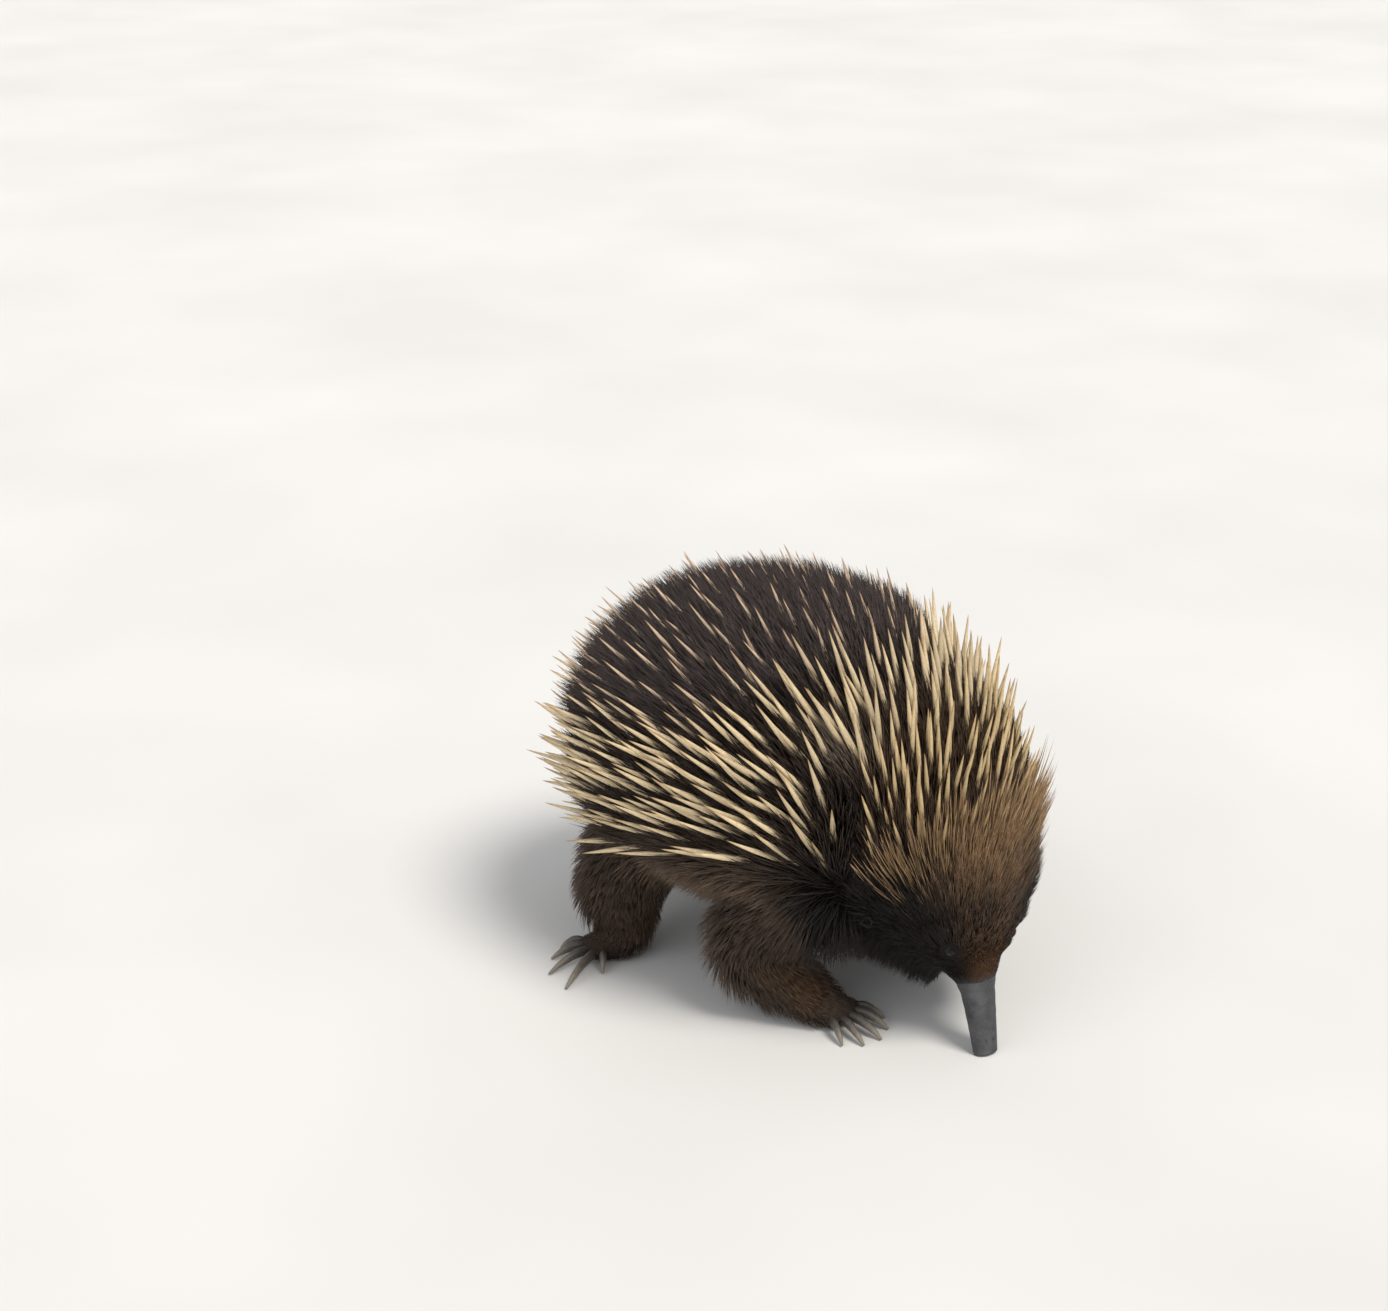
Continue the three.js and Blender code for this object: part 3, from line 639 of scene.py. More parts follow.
def sampled(rows, sides, place, coat, corner, size):
    """Sample points over a shape, their coat, and their places in one corner of the unwrap."""
    round_it = np.linspace(-math.pi / 2, 1.5 * math.pi, sides, endpoint=False)
    t, angle = (values.ravel() for values in np.meshgrid(rows, round_it, indexing="ij"))
    around = (angle + math.pi / 2) / (2 * math.pi)
    ahead = (t - rows[0]) / (rows[-1] - rows[0])
    unwrap = np.stack([corner[0] + size[0] * ahead, corner[1] + size[1] * around], axis=1)
    return place(t, angle), {**coat(t, angle), "unwrap": unwrap}


def coat_samples():
    """All sample points with their coats, put together."""
    body_rows = np.linspace(0.002, SKIN_TO / LAST, 160)

    def body_place(t, angle):
        return coat_point(t, angle, SKIN_SHARE)

    found = [sampled(body_rows, 96, body_place, body_coat, (0.02, 0.5), (0.96, 0.48))]
    for column, (leg, side) in enumerate(LEGS):
        limb = leg_limb(leg, side)
        found.append(
            sampled(
                np.linspace(0.12, 1, 50),
                40,
                lambda t, angle: limb.surface(t, angle, leg_inset(t))[0],
                lambda t, angle: leg_coat(t, angle, limb, leg["name"]),
                (0.02 + 0.25 * column, 0.02),
                (0.21, 0.3),
            )
        )

    def tail_place(t, angle):
        return TAIL.surface(t, angle, TAIL_INSET)[0]

    def tail_coat(t, angle):
        colour = mix(UNDER_HAIR, FLANK_HAIR, 0.4 + 0 * t)
        return {**leg_coat(t, angle, TAIL, "tail"), "height": 4 + 0 * t, "colour": colour}

    found.append(sampled(np.linspace(0.1, 1, 24), 30, tail_place, tail_coat, (0.02, 0.36), (0.2, 0.1)))
    points = np.vstack([place for place, _ in found])
    coats = {key: np.concatenate([coat[key] for _, coat in found]) for key in found[0][1]}
    return points, coats


def tree_of(points):
    tree = KDTree(len(points))
    for index, place in enumerate(points):
        tree.insert(place, index)
    tree.balance()
    return tree


def blended(values, picks, weights):
    """The mean, by weight, of the values picked for each place."""
    shaped = weights.reshape(weights.shape + (1,) * (values.ndim - 1))
    return (values[picks] * shaped).sum(1)


NEAREST, NEAR_SOFTENED, COAT_SMOOTHING = 5, 0.8, 4


def coat_on(points, quads):
    """The coat at every point of the skin, from the samples nearest to it."""
    samples, coats = coat_samples()
    tree = tree_of(samples)
    near = np.zeros((len(points), NEAREST), int)
    away = np.zeros((len(points), NEAREST))
    for index, place in enumerate(points):
        for k, (_, sample, distance) in enumerate(tree.find_n(place, NEAREST)):
            near[index, k] = sample
            away[index, k] = distance
    weight = 1 / (away + NEAR_SOFTENED) ** 2
    weight /= weight.sum(1, keepdims=True)
    unwrap = coats.pop("unwrap")[near[:, 0]]
    found = {key: blended(values, near, weight) for key, values in coats.items()}
    smooth = {key: averaged(values, quads, COAT_SMOOTHING) for key, values in found.items()}
    return SimpleNamespace(**smooth, unwrap=unwrap)


def near_any(points, frames):
    """Distance of each point from the nearest of the eyes or ears."""
    return np.min([np.linalg.norm(points - frame[0], axis=1) for frame in frames.values()], axis=0)


skin_points, skin_quads = joined_skin()
skin_points = averaged(skin_points, skin_quads, SMOOTHING)
coat = coat_on(skin_points, skin_quads)
normals = point_normals(skin_points, skin_quads)
eye_gap = near_any(skin_points, eye_frames)
ear_gap = near_any(skin_points, ear_frames)

# Folds of the skin: one behind the neck on each side, and the rise that each eye sits in.
FOLD_DEPTH = 7.0
FOLD_REACH = (-0.7, -0.3, 0.5, 0.9)
EYE_RISE = 3.0
neck_fold = fold_share(coat.station, coat.side, FOLD_REACH) * (1 - coat.leg)
eye_rise = EYE_RISE * fade(eye_gap, 4, 15)
skin_points = skin_points + normals * (eye_rise - FOLD_DEPTH * neck_fold)[:, None]
lift_off_floor(skin_points)
normals = point_normals(skin_points, skin_quads)

bare = np.maximum(fade(eye_gap, 5.0, 7.5), fade(ear_gap, 3, 6))
feet = coat.leg * fade(skin_points[:, 2], 7, 14)
skin_colour = mix(coat.colour * 0.5, BARE_SKIN, np.maximum(bare, 0.8 * feet))
skin_colour = mix(skin_colour, BEAK_SKIN, smoothstep(coat.station, 10.3, 10.9))


# Materials

class Look:
    """A material whose colour and relief come from nodes. Its methods add nodes and return their outputs."""

    def __init__(self, name, roughness, specular):
        self.material = bpy.data.materials.new(name)
        self.material.use_nodes = True
        self.tree = self.material.node_tree
        self.shader = self.tree.nodes["Principled BSDF"]
        self.shader.inputs["Roughness"].default_value = roughness
        self.shader.inputs["Specular IOR Level"].default_value = specular

    def node(self, kind, output, inputs, **settings):
        """A node with its settings, whose inputs take values or other nodes' outputs."""
        made = self.tree.nodes.new("ShaderNode" + kind)
        for key, value in settings.items():
            setattr(made, key, value)
        for key, value in inputs.items():
            if isinstance(value, bpy.types.NodeSocket):
                self.tree.links.new(value, made.inputs[key])
            else:
                made.inputs[key].default_value = value
        return made.outputs[output]

    def place(self):
        return self.node("TexCoord", "Object", {})

    def attribute(self, name, output="Fac"):
        return self.node("Attribute", output, {}, attribute_name=name)

    def noise(self, scale, detail=3.0):
        inputs = {"Scale": scale, "Detail": detail, "Roughness": 0.55, "Vector": self.place()}
        return self.node("TexNoise", "Fac", inputs)

    def ranged(self, value, low, high, to_low, to_high):
        inputs = {"Value": value, "From Min": low, "From Max": high, "To Min": to_low, "To Max": to_high}
        return self.node("MapRange", "Result", inputs)

    def math(self, operation, *values):
        return self.node("Math", "Value", dict(enumerate(values)), operation=operation)

    def scaled(self, colour, factor):
        return self.node("VectorMath", "Vector", {0: colour, "Scale": factor}, operation="SCALE")

    def ramp(self, value, stops):
        output = self.node("ValToRGB", "Color", {"Fac": value})
        points = output.node.color_ramp.elements
        while len(points) < len(stops):
            points.new(0.5)
        for point, (position, colour) in zip(points, stops):
            point.position = position
            point.color = (*colour, 1)
        return output

    def colour(self, output):
        self.tree.links.new(output, self.shader.inputs["Base Color"])

    def bump(self, height, strength, distance):
        inputs = {"Height": height, "Strength": strength, "Distance": distance * MM}
        self.tree.links.new(self.node("Bump", "Normal", inputs), self.shader.inputs["Normal"])


def hair_material(name, root, tip):
    """Hair that is darker at its roots, as painted shade between the hairs, and varies a little from lock to
    lock.
    """
    look = Look(name, 0.58, 0.35)
    shade = look.ranged(look.attribute("along"), 0.1, 0.95, root, tip)
    patchy = look.ranged(look.noise(90), 0.3, 0.7, 0.82, 1.15)
    tint = look.attribute("coat_colour", "Color")
    look.colour(look.scaled(tint, look.math("MULTIPLY", shade, patchy)))
    return look.material


def spine_material(name):
    """Smooth horn: brown at the root, cream along its length and darker at the sharp tip."""
    look = Look(name, 0.42, 0.45)
    stops = [
        (0.0, (0.1, 0.07, 0.05)),
        (0.14, (0.26, 0.2, 0.14)),
        (0.27, (0.78, 0.73, 0.64)),
        (0.42, (1, 1, 1)),
        (0.8, (0.97, 0.95, 0.92)),
        (0.92, (0.75, 0.66, 0.55)),
        (1.0, (0.42, 0.33, 0.25)),
    ]
    shade = look.ramp(look.attribute("along"), stops)
    tint = look.attribute("coat_colour", "Color")
    both = look.node("VectorMath", "Vector", {0: tint, 1: shade}, operation="MULTIPLY")
    streaks = look.noise(650, 2.0)
    look.colour(look.scaled(both, look.ranged(streaks, 0.3, 0.7, 0.86, 1.08)))
    look.bump(streaks, 0.25, 0.3)
    return look.material


def skin_material():
    """Dark skin under the coat, with the same markings, matted like flat hair."""
    look = Look("skin_under_coat", 0.8, 0.12)
    mottled = look.ranged(look.noise(500, 5.0), 0.3, 0.7, 0.65, 1.2)
    look.colour(look.scaled(look.attribute("coat_colour", "Color"), mottled))
    look.bump(look.noise(900, 6.0), 0.7, 0.8)
    return look.material


def leather_material(name, dark, pale, scale, roughness=0.6):
    """Bare grey skin with fine pits and creases."""
    look = Look(name, roughness, 0.25)
    inputs = {"Scale": scale, "Vector": look.place()}
    cells = look.node("TexVoronoi", "Distance", inputs, feature="DISTANCE_TO_EDGE")
    grain = look.noise(scale * 1.6)
    cloudy = look.math("MULTIPLY_ADD", grain, 0.45, look.noise(scale * 0.12, 5.0))
    look.colour(look.ramp(cloudy, [(0.45, dark), (0.95, pale)]))
    pits = look.ranged(cells, 0.0, 0.25, 0.0, 1.0)
    look.bump(look.math("ADD", pits, grain), 0.5, 0.35)
    return look.material


def horn_material():
    """Grey horn of the claws, streaked and paler and worn towards the tip."""
    look = Look("claw_horn", 0.45, 0.45)
    worn = look.noise(420, 4.0)
    share = look.math("MULTIPLY_ADD", worn, 0.5, look.attribute("along"))
    stops = [(0.15, srgb(50, 45, 41)), (0.7, srgb(84, 78, 71)), (1.0, srgb(124, 115, 101))]
    look.colour(look.ramp(share, stops))
    look.bump(worn, 0.35, 0.3)
    return look.material


def eye_material():
    """A dark wet eye: a black pupil in a very dark brown iris."""
    look = Look("eye_wet", 0.08, 0.15)
    look.shader.inputs["Coat Weight"].default_value = 0.2
    look.shader.inputs["Coat Roughness"].default_value = 0.02
    rim, iris, edge, pupil = srgb(28, 20, 16), srgb(52, 34, 22), srgb(30, 20, 14), srgb(6, 5, 5)
    stops = [(0.0, rim), (0.62, iris), (0.72, edge), (0.8, pupil)]
    streaks = look.ranged(look.noise(1500, 4.0), 0.3, 0.7, 0.7, 1.2)
    look.colour(look.scaled(look.ramp(look.attribute("along"), stops), streaks))
    return look.material


FUR = hair_material("fur_hair", 0.35, 1.12)
SPINE = spine_material("spine_keratin")
SKIN = skin_material()
BEAK_LEATHER = leather_material("beak_leather", srgb(52, 53, 56), srgb(92, 92, 93), 900)
EAR_LEATHER = leather_material("ear_leather", srgb(21, 17, 15), srgb(38, 31, 28), 700)
LID_LEATHER = leather_material("lid_leather", srgb(17, 14, 13), srgb(38, 32, 29), 1100, 0.8)
HORN = horn_material()
EYE_WET = eye_material()

leg_nodes = [f"{leg['name']}_{side}" for leg, side in LEGS]
skin_nodes = ["torso", "neck", "head", "tail", *leg_nodes]
add_piece("skin", SKIN, "fur", skin_points, [skin_quads], skin_colour, nodes=skin_nodes)


# Coat: roots on the skin, and what grows from them

quad_area = np.linalg.norm(quad_crosses(skin_points, skin_quads), axis=1) / 2


def roots(count, weight):
    """Random roots over the skin, as dense as the weight at its points says, with the coat at each."""
    share = quad_area * weight[skin_quads].mean(1)
    quads = skin_quads[RANDOM.choice(len(skin_quads), count, p=share / share.sum())]
    u, v = RANDOM.random(count), RANDOM.random(count)
    blend = np.stack([(1 - u) * (1 - v), u * (1 - v), u * v, (1 - u) * v], axis=1)
    coats = {**vars(coat), "place": skin_points, "normal": normals, "eye_gap": eye_gap, "ear_gap": ear_gap}
    found = SimpleNamespace(**{key: blended(values, quads, blend) for key, values in coats.items()})
    found.unwrap = coat.unwrap[quads[:, 0]]
    found.normal = unit(found.normal)
    found.lie = unit(found.lie - found.normal * dot(found.lie, found.normal) * 0.75)
    found.pull = np.zeros((count, 3))
    return found


def kept(found, mask):
    return SimpleNamespace(**{key: values[mask] for key, values in vars(found).items()})


PATCH = 0.003  # size of each piece's patch in the unwrap


def inside_box(found):
    """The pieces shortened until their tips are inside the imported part's box, without those still outside."""
    middle = (found.start + found.end) / 2

    def outside():
        tips = found.place + middle * found.length[:, None] + found.pull
        return np.any((tips < BOX_LOW) | (tips > BOX_HIGH), axis=1)

    for _ in range(8):
        found.length = np.where(outside(), found.length * 0.85, found.length)
    return kept(found, ~outside())


def piece_points(found, sides, shares, widths):
    """Points of bent pointed pieces: rings along each and then its tip."""
    span = np.array([*shares, 1.0])
    share = span[None, :, None]
    length = found.length[:, None, None]
    bend = (found.end - found.start)[:, None, :] / 2
    line = found.place[:, None, :] + length * (found.start[:, None, :] * share + bend * share**2)
    line = line + found.pull[:, None, :] * share**2
    forward = unit(found.start + found.end)
    side = unit(np.cross(forward, found.normal + 0.01))
    rise = np.cross(forward, side)
    spin = RANDOM.random(len(line))[:, None] * 2 * math.pi + turns(sides)[None, :]
    rim = np.cos(spin)[..., None] * side[:, None, :] + np.sin(spin)[..., None] * rise[:, None, :]
    wide = (found.radius[:, None] * np.array(widths)[None, :])[..., None, None]
    rings = line[:, :-1, None, :] + rim[:, None, :, :] * wide
    rings[..., 2] = np.maximum(rings[..., 2], BOX_LOW[2])
    return np.concatenate([rings.reshape(len(line), -1, 3), line[:, -1:, :]], axis=1)


def grow(name, found, material, slot, form, limit):
    """Closed pointed pieces from the roots, as meshes of under 200,000 triangles each.

    found needs start and end directions, length, radius, pull and tint. form is the number of sides, the
    shares of the length at which there are rings, and their widths. limit is the most pieces in a mesh.
    """
    sides, shares, widths = form
    found = inside_box(found)
    order = np.argsort(found.unwrap[:, 0] + 2 * (found.unwrap[:, 1] < 0.5), kind="stable")
    found = kept(found, order)
    points = piece_points(found, sides, shares, widths)
    count = len(shares) * sides + 1
    along = np.append(np.repeat(shares, sides), 1.0)
    corner = np.append(np.tile(np.arange(sides) / sides, len(shares)), 0.5)
    patch = np.stack([corner, along], axis=1) * PATCH
    last = (len(shares) - 1) * sides
    k = np.arange(sides)
    tip = np.stack([last + k, last + (k + 1) % sides, np.full(sides, count - 1)], axis=1)
    cap = k[::-1][None, :]
    faces = (ring_quads(len(shares), sides), tip, cap)
    parts = math.ceil(len(points) / limit)
    for part, index in enumerate(np.array_split(np.arange(len(points)), parts), 1):
        first = (np.arange(len(index)) * count)[:, None, None]
        unwrap = np.clip(found.unwrap[index], 0.002, 0.994)[:, None, :] + patch[None]
        add_piece(
            f"{name}_{part}",
            material,
            slot,
            points[index].reshape(-1, 3),
            [(group[None] + first).reshape(-1, group.shape[1]) for group in faces],
            np.repeat(found.tint[index], count, axis=0),
            np.tile(along, len(index)),
            unwrap.reshape(-1, 2),
        )


def directed(found, lean, steep, flat, sway):
    """Start and end directions that lean back along the lie, steeper at the root than at the tip."""
    count = len(found.place)
    stray = RANDOM.normal(0, 1, (count, 3)) * sway
    tangent = found.lie * lean[:, None]
    found.start = unit(found.normal + tangent * steep + stray)
    found.end = unit(found.normal + tangent * flat + stray * 1.6)
    return found


def clumped(found, spacing, strength):
    """Draws the tips towards the middles of small locks."""
    count = len(found.place)
    middles = RANDOM.choice(count, max(1, int(count / spacing)), replace=False)
    tree = tree_of(found.place[middles])
    nearest = np.array([tree.find(place)[1] for place in found.place])
    away = found.place[middles[nearest]] - found.place
    reach = np.linalg.norm(away, axis=1, keepdims=True)
    pull = away * np.minimum(1, LOCK_REACH / np.maximum(reach, 1e-6)) * strength
    found.pull = pull * RANDOM.uniform(0.4, 1.0, (count, 1))
    found.drift = RANDOM.normal(0, 1, (len(middles), 3))[nearest]
    found.tone = RANDOM.random(len(middles))[nearest]
    return found


def rise_of(found):
    """How steeply each piece stands on the skin: 1 is straight out."""
    return dot((found.start + found.end) / 2, found.normal)[:, 0]


def clear_of(found, gaps):
    """The roots that are farther than the two gaps from the eyes and the ears."""
    return kept(found, (found.eye_gap > gaps[0]) & (found.ear_gap > gaps[1]))


LOCK_SIZE, LOCK_REACH = 14, 6  # tufts in one lock, and how far a tip moves to its middle at most
HAIR_ROOT, BRISTLE_ROOT = 0.5, 1.5  # depth of the roots under the skin
HAIR_CLEAR, BRISTLE_CLEAR = (4.9, 3.5), (14, 7)  # least distances from an eye and from an ear
# Sides of a piece, shares of its length at which it has rings, and their widths
HAIR_FORM = (3, (0.0, 0.4, 0.75), (1.0, 0.85, 0.55))
SHORT_FORM = (3, (0.0, 0.5), (1.0, 0.75))
SPINE_FORM = (6, (0.0, 0.12, 0.35, 0.6, 0.8, 0.93), (0.6, 0.85, 1.0, 0.84, 0.5, 0.24))
BRISTLE_FORM = (4, (0.0, 0.4, 0.75), (0.8, 1.0, 0.6))


def sweep_over_eyes(found):
    """How far each hair would sweep over an eye from close by: 0 is not at all and 1 is right over it."""
    over = np.zeros(len(found.place))
    for centre, _, _, _ in eye_frames.values():
        away = centre - found.place
        distance = np.linalg.norm(away, axis=1)
        facing = dot(found.lie, unit(away))[:, 0]
        over = np.maximum(over, smoothstep(facing, -0.3, 0.4) * fade(distance, 5.5, 16))
    return over


def hair(name, count, weight, form, radius, limit, shortest=0.7, sway=0.12, clumping=0.35, contrast=0.4):
    """Fur over the skin: the weight says where it grows and how densely."""
    found = roots(int(count * DENSITY), weight)
    found = clumped(found, LOCK_SIZE, clumping)
    found = directed(found, found.lean, 0.55, 1.25, sway)
    found.end = unit(found.end + found.drift * 0.09)
    number = len(found.place)
    reach = np.minimum(found.height / np.maximum(rise_of(found), 0.2), found.longest)
    found.length = reach * RANDOM.uniform(shortest, 1.0, number) * (1 - 0.78 * sweep_over_eyes(found))
    found.radius = radius * RANDOM.uniform(0.75, 1.2, number) * np.clip(found.length / 12, 0.45, 1)
    found.place = found.place - found.normal * HAIR_ROOT
    bright = 0.9 + contrast * (found.tone - 0.5) + RANDOM.normal(0, 0.12, number)
    found.tint = np.clip(found.colour * bright[:, None], 0.001, 1)
    grow(name, clear_of(found, HAIR_CLEAR), FUR, "fur", form, limit)


def thinned(found, spacing):
    """The roots left when none is nearer to a kept one than its spacing."""
    cell = 14.0
    steps = list(product((-1, 0, 1), repeat=3))
    cells, keep = {}, []
    for index, place in enumerate(found.place):
        x, y, z = (place // cell).astype(int)
        near = [other for dx, dy, dz in steps for other in cells.get((x + dx, y + dy, z + dz), ())]
        if all(np.sum((found.place[other] - place) ** 2) >= spacing[index] ** 2 for other in near):
            cells.setdefault((x, y, z), []).append(index)
            keep.append(index)
    return kept(found, np.array(keep))


SPINE_TRIES, SPINE_SPACING, SPINE_LENGTH, SPINE_RADIUS, SPINE_ROOT = 9000, 7.2, 51, 1.85, 3
BRISTLE_COUNT, BRISTLE_RADIUS = 1150, 0.32


def spines():
    """Spines over the back, flanks and neck."""
    found = roots(SPINE_TRIES, coat.spiny ** 2 * (coat.leg < 0.3))
    neck = smoothstep(found.station, 5.9, 6.5)
    rump = fade(found.station, 0.5, 1.8)
    spacing = SPINE_SPACING + 3.7 * found.back - 0.8 * neck - 0.8 * rump
    spiny = found.spiny > 0.6
    found = thinned(kept(found, spiny), spacing[spiny])
    number = len(found.place)
    neck = smoothstep(found.station, 5.9, 6.5)
    rump = fade(found.station, 0.4, 1.8)
    found = directed(found, found.spine_lean * RANDOM.uniform(0.88, 1.12, number), 0.85, 1.2, 0.08)
    thin = smoothstep(found.station, 6.6, 7.9)
    on_side = fade(found.side, 0.5, 1.1)
    longest = SPINE_LENGTH + 2 * rump - 3 * neck - 14 * neck * on_side - 10 * thin
    reach = np.minimum(found.depth * 0.95 / np.maximum(rise_of(found), 0.42), longest)
    found.length = reach * RANDOM.uniform(0.82, 1.05, number) + SPINE_ROOT
    found.place = found.place - found.normal * SPINE_ROOT
    radius = SPINE_RADIUS - 0.3 * found.back - 0.45 * neck - 0.55 * thin
    found.radius = radius * RANDOM.uniform(0.85, 1.12, number)
    colour = mix(FLANK_SPINE, BACK_SPINE, found.back)
    colour = mix(colour, NECK_SPINE, neck)
    colour = mix(colour, RUMP_SPINE, rump)
    colour = mix(colour, BRISTLE, 0.8 * smoothstep(found.station, 6.9, 7.7))
    bright = RANDOM.uniform(0.78, 1.05, number)
    found.tint = np.clip(colour * bright[:, None], 0, 1)
    grow("spines", found, SPINE, "spine_coat", SPINE_FORM, limit=2500)


def bristles():
    """Thin pale bristles between the hairs of the neck and crown."""
    weight = smoothstep(coat.station, 7.0, 7.5) * fade(coat.station, 8.1, 9.5)
    weight *= smoothstep(coat.side, 0.1, 0.6) * (coat.leg < 0.3)
    found = roots(BRISTLE_COUNT, weight)
    number = len(found.place)
    found = directed(found, found.lean * RANDOM.uniform(0.85, 1.15, number), 0.7, 1.1, 0.08)
    found.length = found.depth * 0.95 / np.maximum(rise_of(found), 0.4) * RANDOM.uniform(0.6, 1.0, number) + 2
    found.place = found.place - found.normal * BRISTLE_ROOT
    thinner = 1.4 - 0.75 * smoothstep(found.station, 6.9, 8.3)
    found.radius = BRISTLE_RADIUS * RANDOM.uniform(0.7, 1.2, number) * thinner
    fading = 1 - 0.5 * smoothstep(found.station, 7.3, 9.0)
    found.tint = np.clip(BRISTLE * (RANDOM.uniform(0.5, 1.05, number) * fading)[:, None], 0, 1)
    grow("bristles", clear_of(found, BRISTLE_CLEAR), SPINE, "spine_coat", BRISTLE_FORM, limit=8000)


on_body = fade(coat.leg, 0.35, 0.65)
under = fade(coat.side, spine_edge(coat.station) - 0.2, spine_edge(coat.station))
head_part = smoothstep(coat.station, 6.6, 7.2) * on_body
torso_part = on_body * (1 - under) * (1 - head_part)
low_part = np.clip(1 - torso_part - head_part, 0, 1)
beak_bare = fade(coat.station, 10.2, 10.85)

back_weight = torso_part * (1 + 0.5 * coat.back)
hair("coat_back", 43000, back_weight, HAIR_FORM, radius=0.42, limit=12000)
head_weight = head_part * beak_bare * (1 + 1.5 * smoothstep(coat.station, 7.5, 9.5))
hair("coat_head", 27000, head_weight, SHORT_FORM, 0.27, 19000, sway=0.09, clumping=0.3, contrast=0.75)
under_weight = low_part * beak_bare
hair("coat_under", 31000, under_weight, SHORT_FORM, 0.36, 19000, shortest=0.6, sway=0.14, clumping=0.3)
spines()
bristles()


# Beak

MOUTH_LENGTH, MOUTH_BELOW, MOUTH_WIDE, MOUTH_DEEP = 13.0, 1.4, 0.75, 1.0
NOSTRIL_STATION, NOSTRIL_APART, NOSTRIL_LONG, NOSTRIL_WIDE = 12.6, 2.3, 1.7, 0.75
BEAK_STEP = 17.5  # length of the beak from one station to the next
CREASE_WIDE, CREASE_DEEP = 1.35, 0.07


def beak():
    """The bare snout: fine creases across it, two nostrils and the line of the mouth round its tip."""
    t, angle = grid_of(np.linspace(BEAK_FROM / LAST, 1, 110), 72)
    grid = skin_point(t, angle)
    normal = skin_normal(t, angle)
    place, _, left, up, _, _ = body_section(t)
    along = (1 - t) * LAST * BEAK_STEP
    by_tip = fade(along, MOUTH_LENGTH - 4, MOUTH_LENGTH)
    below = dot(grid - place, up)[..., 0]
    across = dot(grid - place, left)[..., 0]
    mouth = bell(below + MOUTH_BELOW, MOUTH_WIDE) * by_tip
    lip = bell(below + MOUTH_BELOW - 1.3, 0.9) * by_tip
    beside = np.abs(across) - NOSTRIL_APART
    before = (NOSTRIL_STATION / LAST - t) * LAST * BEAK_STEP
    slit = bell(beside, NOSTRIL_WIDE) * bell(before, NOSTRIL_LONG) * (below > 0)
    rim = bell(beside, 1.5) * bell(before, 2.8) * (below > 0)
    creases = np.sin(t * LAST * BEAK_STEP / CREASE_WIDE + 0.6 * np.sin(angle * 3))
    creases = CREASE_DEEP * creases * smoothstep(along, 12, 26)
    drawn_in = 0.6 * fade(t * LAST, SKIN_TO - 0.9, SKIN_TO - 0.4)
    push = creases + 0.25 * lip + 0.35 * rim - MOUTH_DEEP * mouth - 1.5 * slit - drawn_in
    grid = grid + normal * push[..., None]
    lift_off_floor(grid)
    add_piece("beak_surface", BEAK_LEATHER, "beak_skin", *tube(grid), nodes=["beak"])


# Eyes, with their lids, and ears

def ring_in(frame, radius, angle, height, narrow=1.0):
    """Points round the centre of an eye's or ear's frame, and their height over it."""
    centre, along, out, across = frame
    ahead, beside = radius * np.cos(angle) * narrow, radius * np.sin(angle)
    return centre + ahead[..., None] * along + height[..., None] * out + beside[..., None] * across


def eyes():
    ball = EYE_RADIUS * 0.985
    for side, frame in eye_frames.items():
        tilt, angle = grid_of(np.linspace(0.02, math.pi - 0.02, 40), 56)
        height = np.cos(tilt)
        grid = ring_in(frame, ball * np.sin(tilt), angle, ball * height)
        gaze = np.clip(np.append(height.ravel(), [1, -1]), 0, 1)
        add_piece(f"eyeball_{side}", EYE_WET, "eye", *tube(grid), along=gaze, nodes=[f"eye_{side}"])


LID_OPEN = (3.55, 2.75)  # half length and half height of the opening between the lids
LID_OUTER, LID_OVER, LID_THICK = 6.6, 0.45, 1.2


def lids():
    """Bare wrinkled skin round each eye, from under the ball's front out into the coat."""
    for side, frame in eye_frames.items():
        share, angle = grid_of(np.linspace(0, 1, 34), 72)
        opening = np.hypot(LID_OPEN[0] * np.cos(angle), LID_OPEN[1] * np.sin(angle))
        radius = opening + (LID_OUTER - opening) * share
        ball = np.sqrt(np.maximum(0, (EYE_RADIUS + LID_OVER) ** 2 - radius**2))
        slope = smoothstep(radius, 3.2, LID_OUTER)
        height = ball * (1 - slope) - (EYE_SUNK + 2.2) * slope
        folds = 0.3 * np.sin(share * 21 + 1.2 * np.sin(angle * 2)) * np.sin(share * math.pi)
        creases = 0.12 * np.sin(angle * 17 + share * 6) * share * (1 - share) * 4
        height = height + folds + creases
        height[0] -= 0.5
        top = ring_in(frame, radius, angle, height)
        bottom = ring_in(frame, radius, angle, height - LID_THICK)[::-1]
        add_piece(f"lids_{side}", LID_LEATHER, "fur", *band(np.concatenate([top, bottom])))


def ears():
    """A low upright cup with a rolled uneven lip behind each eye."""
    profile = np.array(
        [(0.3, -8), (3.4, -7.5), (4.2, -1), (4.9, 1.6), (4.4, 2.3), (3.7, 1.6), (2.8, -1), (1.4, -5)]
    )
    closed = [(*point, 0) for point in np.vstack([profile, profile[:1]])]
    fine = smooth_line(closed, np.linspace(0, 1, 40, endpoint=False))
    for side, frame in ear_frames.items():
        row, angle = grid_of(np.arange(len(fine)), 56)
        uneven = 1 + 0.06 * np.sin(angle * 3 + 1) + 0.03 * np.sin(angle * 7)
        radius = fine[row, 0] * uneven
        height = fine[row, 1] + 0.5 * np.sin(angle * 2 + 0.7) * (fine[row, 1] > 2)
        grid = ring_in(frame, radius, angle, height, narrow=0.62)
        add_piece(f"ear_cup_{side}", EAR_LEATHER, "ear_skin", *band(grid), nodes=[f"ear_{side}"])


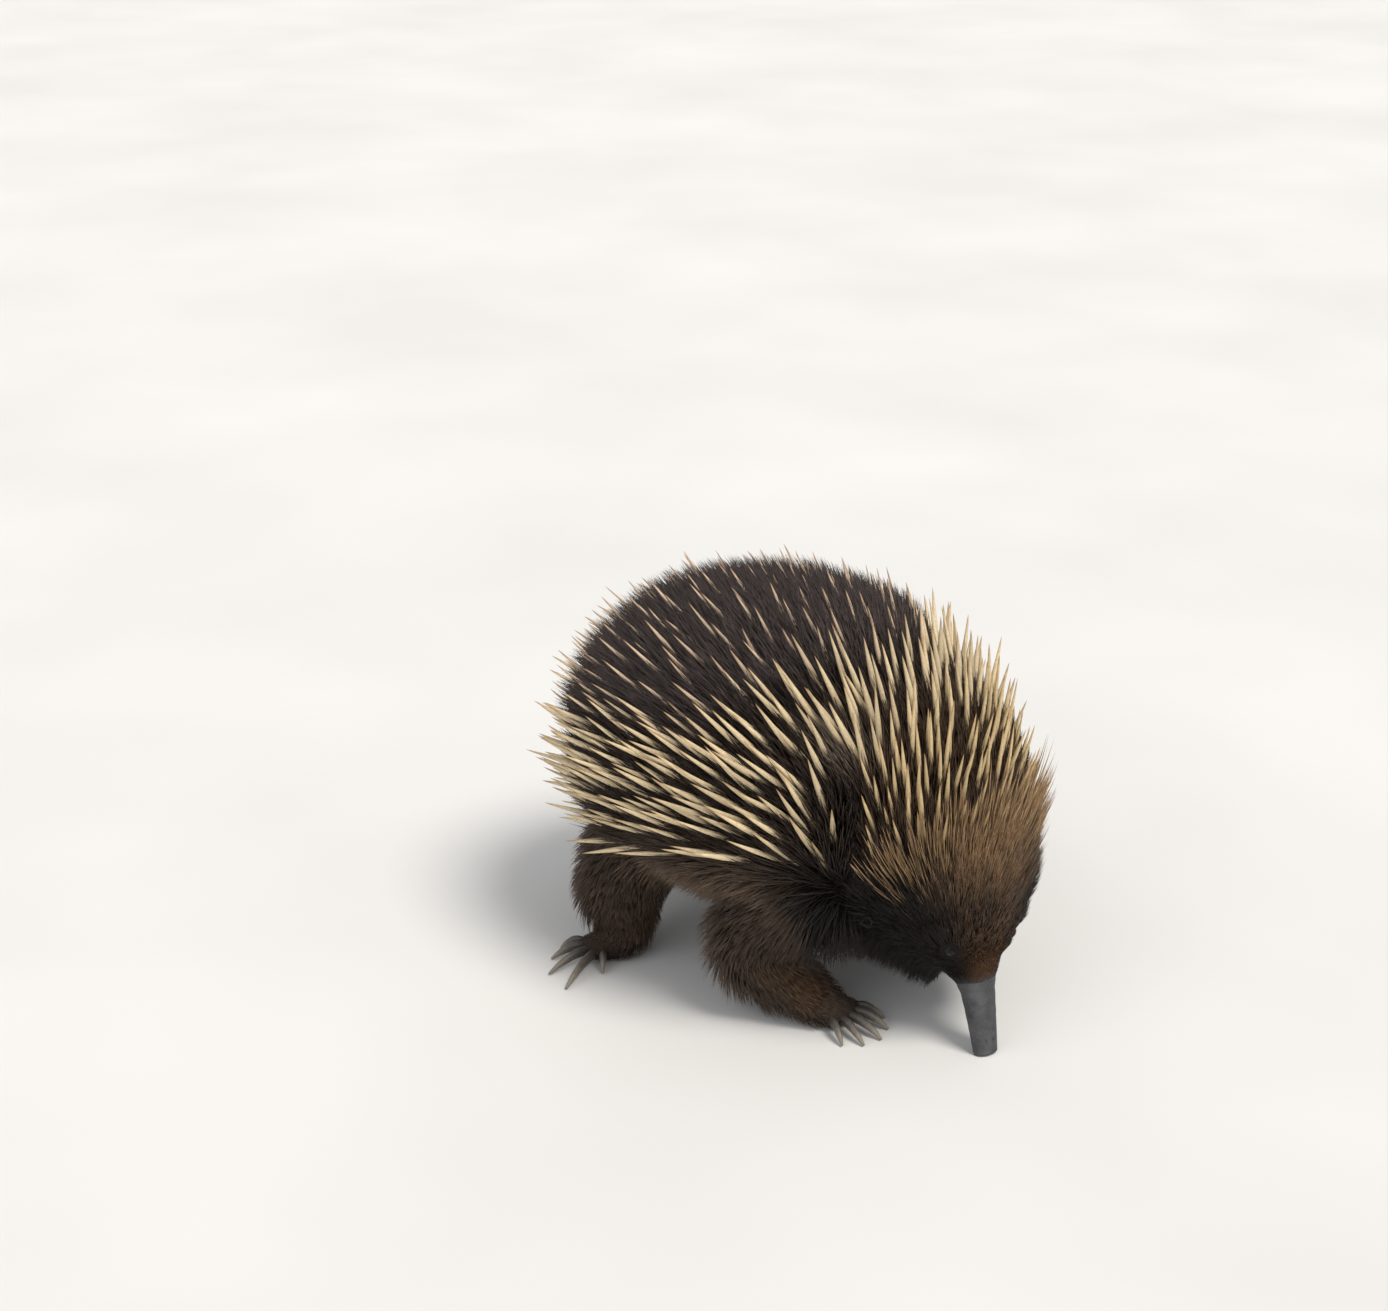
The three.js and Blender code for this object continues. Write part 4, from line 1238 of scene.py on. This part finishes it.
def claws():
    for leg, side in LEGS:
        for number, claw in enumerate(leg["claws"], 1):
            t, angle = grid_of(np.linspace(0, 1, 26), 18)
            grid, _, _ = claw_limb(leg, side, claw).surface(t, angle)
            lift_off_floor(grid)
            along = np.append(t.ravel(), [0, 1])
            node = f"{leg['name']}_claw_{number}_{side}"
            add_piece(f"{node}_horn", HORN, "claw_horn", *tube(grid), along=along, nodes=[node])


beak()
eyes()
lids()
ears()
claws()


# Floor, light and camera

def stage():
    size = 25.0
    mesh = bpy.data.meshes.new("studio_floor")
    corners = [(-size, -size, 0), (size, -size, 0), (size, size, 0), (-size, size, 0)]
    mesh.from_pydata(corners, [], [(0, 1, 2, 3)])
    floor = new_object("studio_floor", mesh)
    look = Look("floor_paper", 0.9, 0.2)
    look.colour(look.ramp(look.noise(3, 2.0), [(0.3, srgb(214, 212, 208)), (0.7, srgb(222, 220, 216))]))
    mesh.materials.append(look.material)
    world = bpy.data.worlds.new("studio")
    world.use_nodes = True
    glow = world.node_tree.nodes["Background"].inputs
    glow["Color"].default_value = (0.93, 0.95, 1.0, 1)
    glow["Strength"].default_value = 0.6
    bpy.context.scene.world = world


CAMERA_AZIMUTH, CAMERA_ELEVATION, CAMERA_DISTANCE = -52.0, 30.0, 1.4
FOCAL_PIXELS = 2400.0
IMAGE_SIZE = (1388, 1311)
GROUND_PIXEL = (803, 951)  # where the photograph shows the point of the floor under the body
SENSOR = 36.0


def photo_camera():
    """The camera of the photograph: level, with the point under the body at its place in the picture."""
    azimuth, elevation = math.radians(CAMERA_AZIMUTH), math.radians(CAMERA_ELEVATION)
    level = math.cos(elevation)
    back = Vector((math.sin(azimuth) * level, -math.cos(azimuth) * level, math.sin(elevation)))
    x = (GROUND_PIXEL[0] - IMAGE_SIZE[0] / 2) / FOCAL_PIXELS
    y = (IMAGE_SIZE[1] / 2 - GROUND_PIXEL[1]) / FOCAL_PIXELS
    nearness = 1 / math.sqrt(1 + x * x + y * y)
    pitch = math.atan(y) + math.asin(back.z / (nearness * math.sqrt(1 + y * y)))
    turn = math.atan2(-back.y, -back.x) + math.atan2(x, math.cos(pitch) + y * math.sin(pitch))
    ahead = Vector((math.cos(turn) * math.cos(pitch), math.sin(turn) * math.cos(pitch), -math.sin(pitch)))
    right = ahead.cross(Vector((0, 0, 1))).normalized()
    up = right.cross(ahead)
    data = bpy.data.cameras.new("photo_camera")
    data.sensor_width = SENSOR
    data.lens = FOCAL_PIXELS / IMAGE_SIZE[0] * SENSOR
    data.clip_start = 0.01
    camera = new_object("photo_camera", data)
    turned = Matrix((right, up, -ahead)).transposed().to_4x4()
    place = back * CAMERA_DISTANCE - Vector(OFFSET * MM)
    camera.matrix_world = Matrix.Translation(place) @ turned
    bpy.context.scene.camera = camera
    return right, up, back


def sun(name, direction, power, spread, colour):
    """A light from far away along a direction, with soft shadows."""
    data = bpy.data.lights.new(name, "SUN")
    data.energy = power
    data.angle = math.radians(spread)
    data.color = colour
    light = new_object(name, data)
    light.rotation_euler = Vector(direction).to_track_quat("Z", "Y").to_euler()


stage()
right, up, back = photo_camera()
sky = Vector((0, 0, 1))
sun("key", right * 0.6 + sky * 1.0 + back * 0.55, 2.5, 24, (1.0, 0.97, 0.92))
sun("fill", back * 1.0 - right * 0.9 + sky * 0.35, 0.6, 60, (0.94, 0.96, 1.0))
bpy.context.scene.view_settings.view_transform = "Standard"
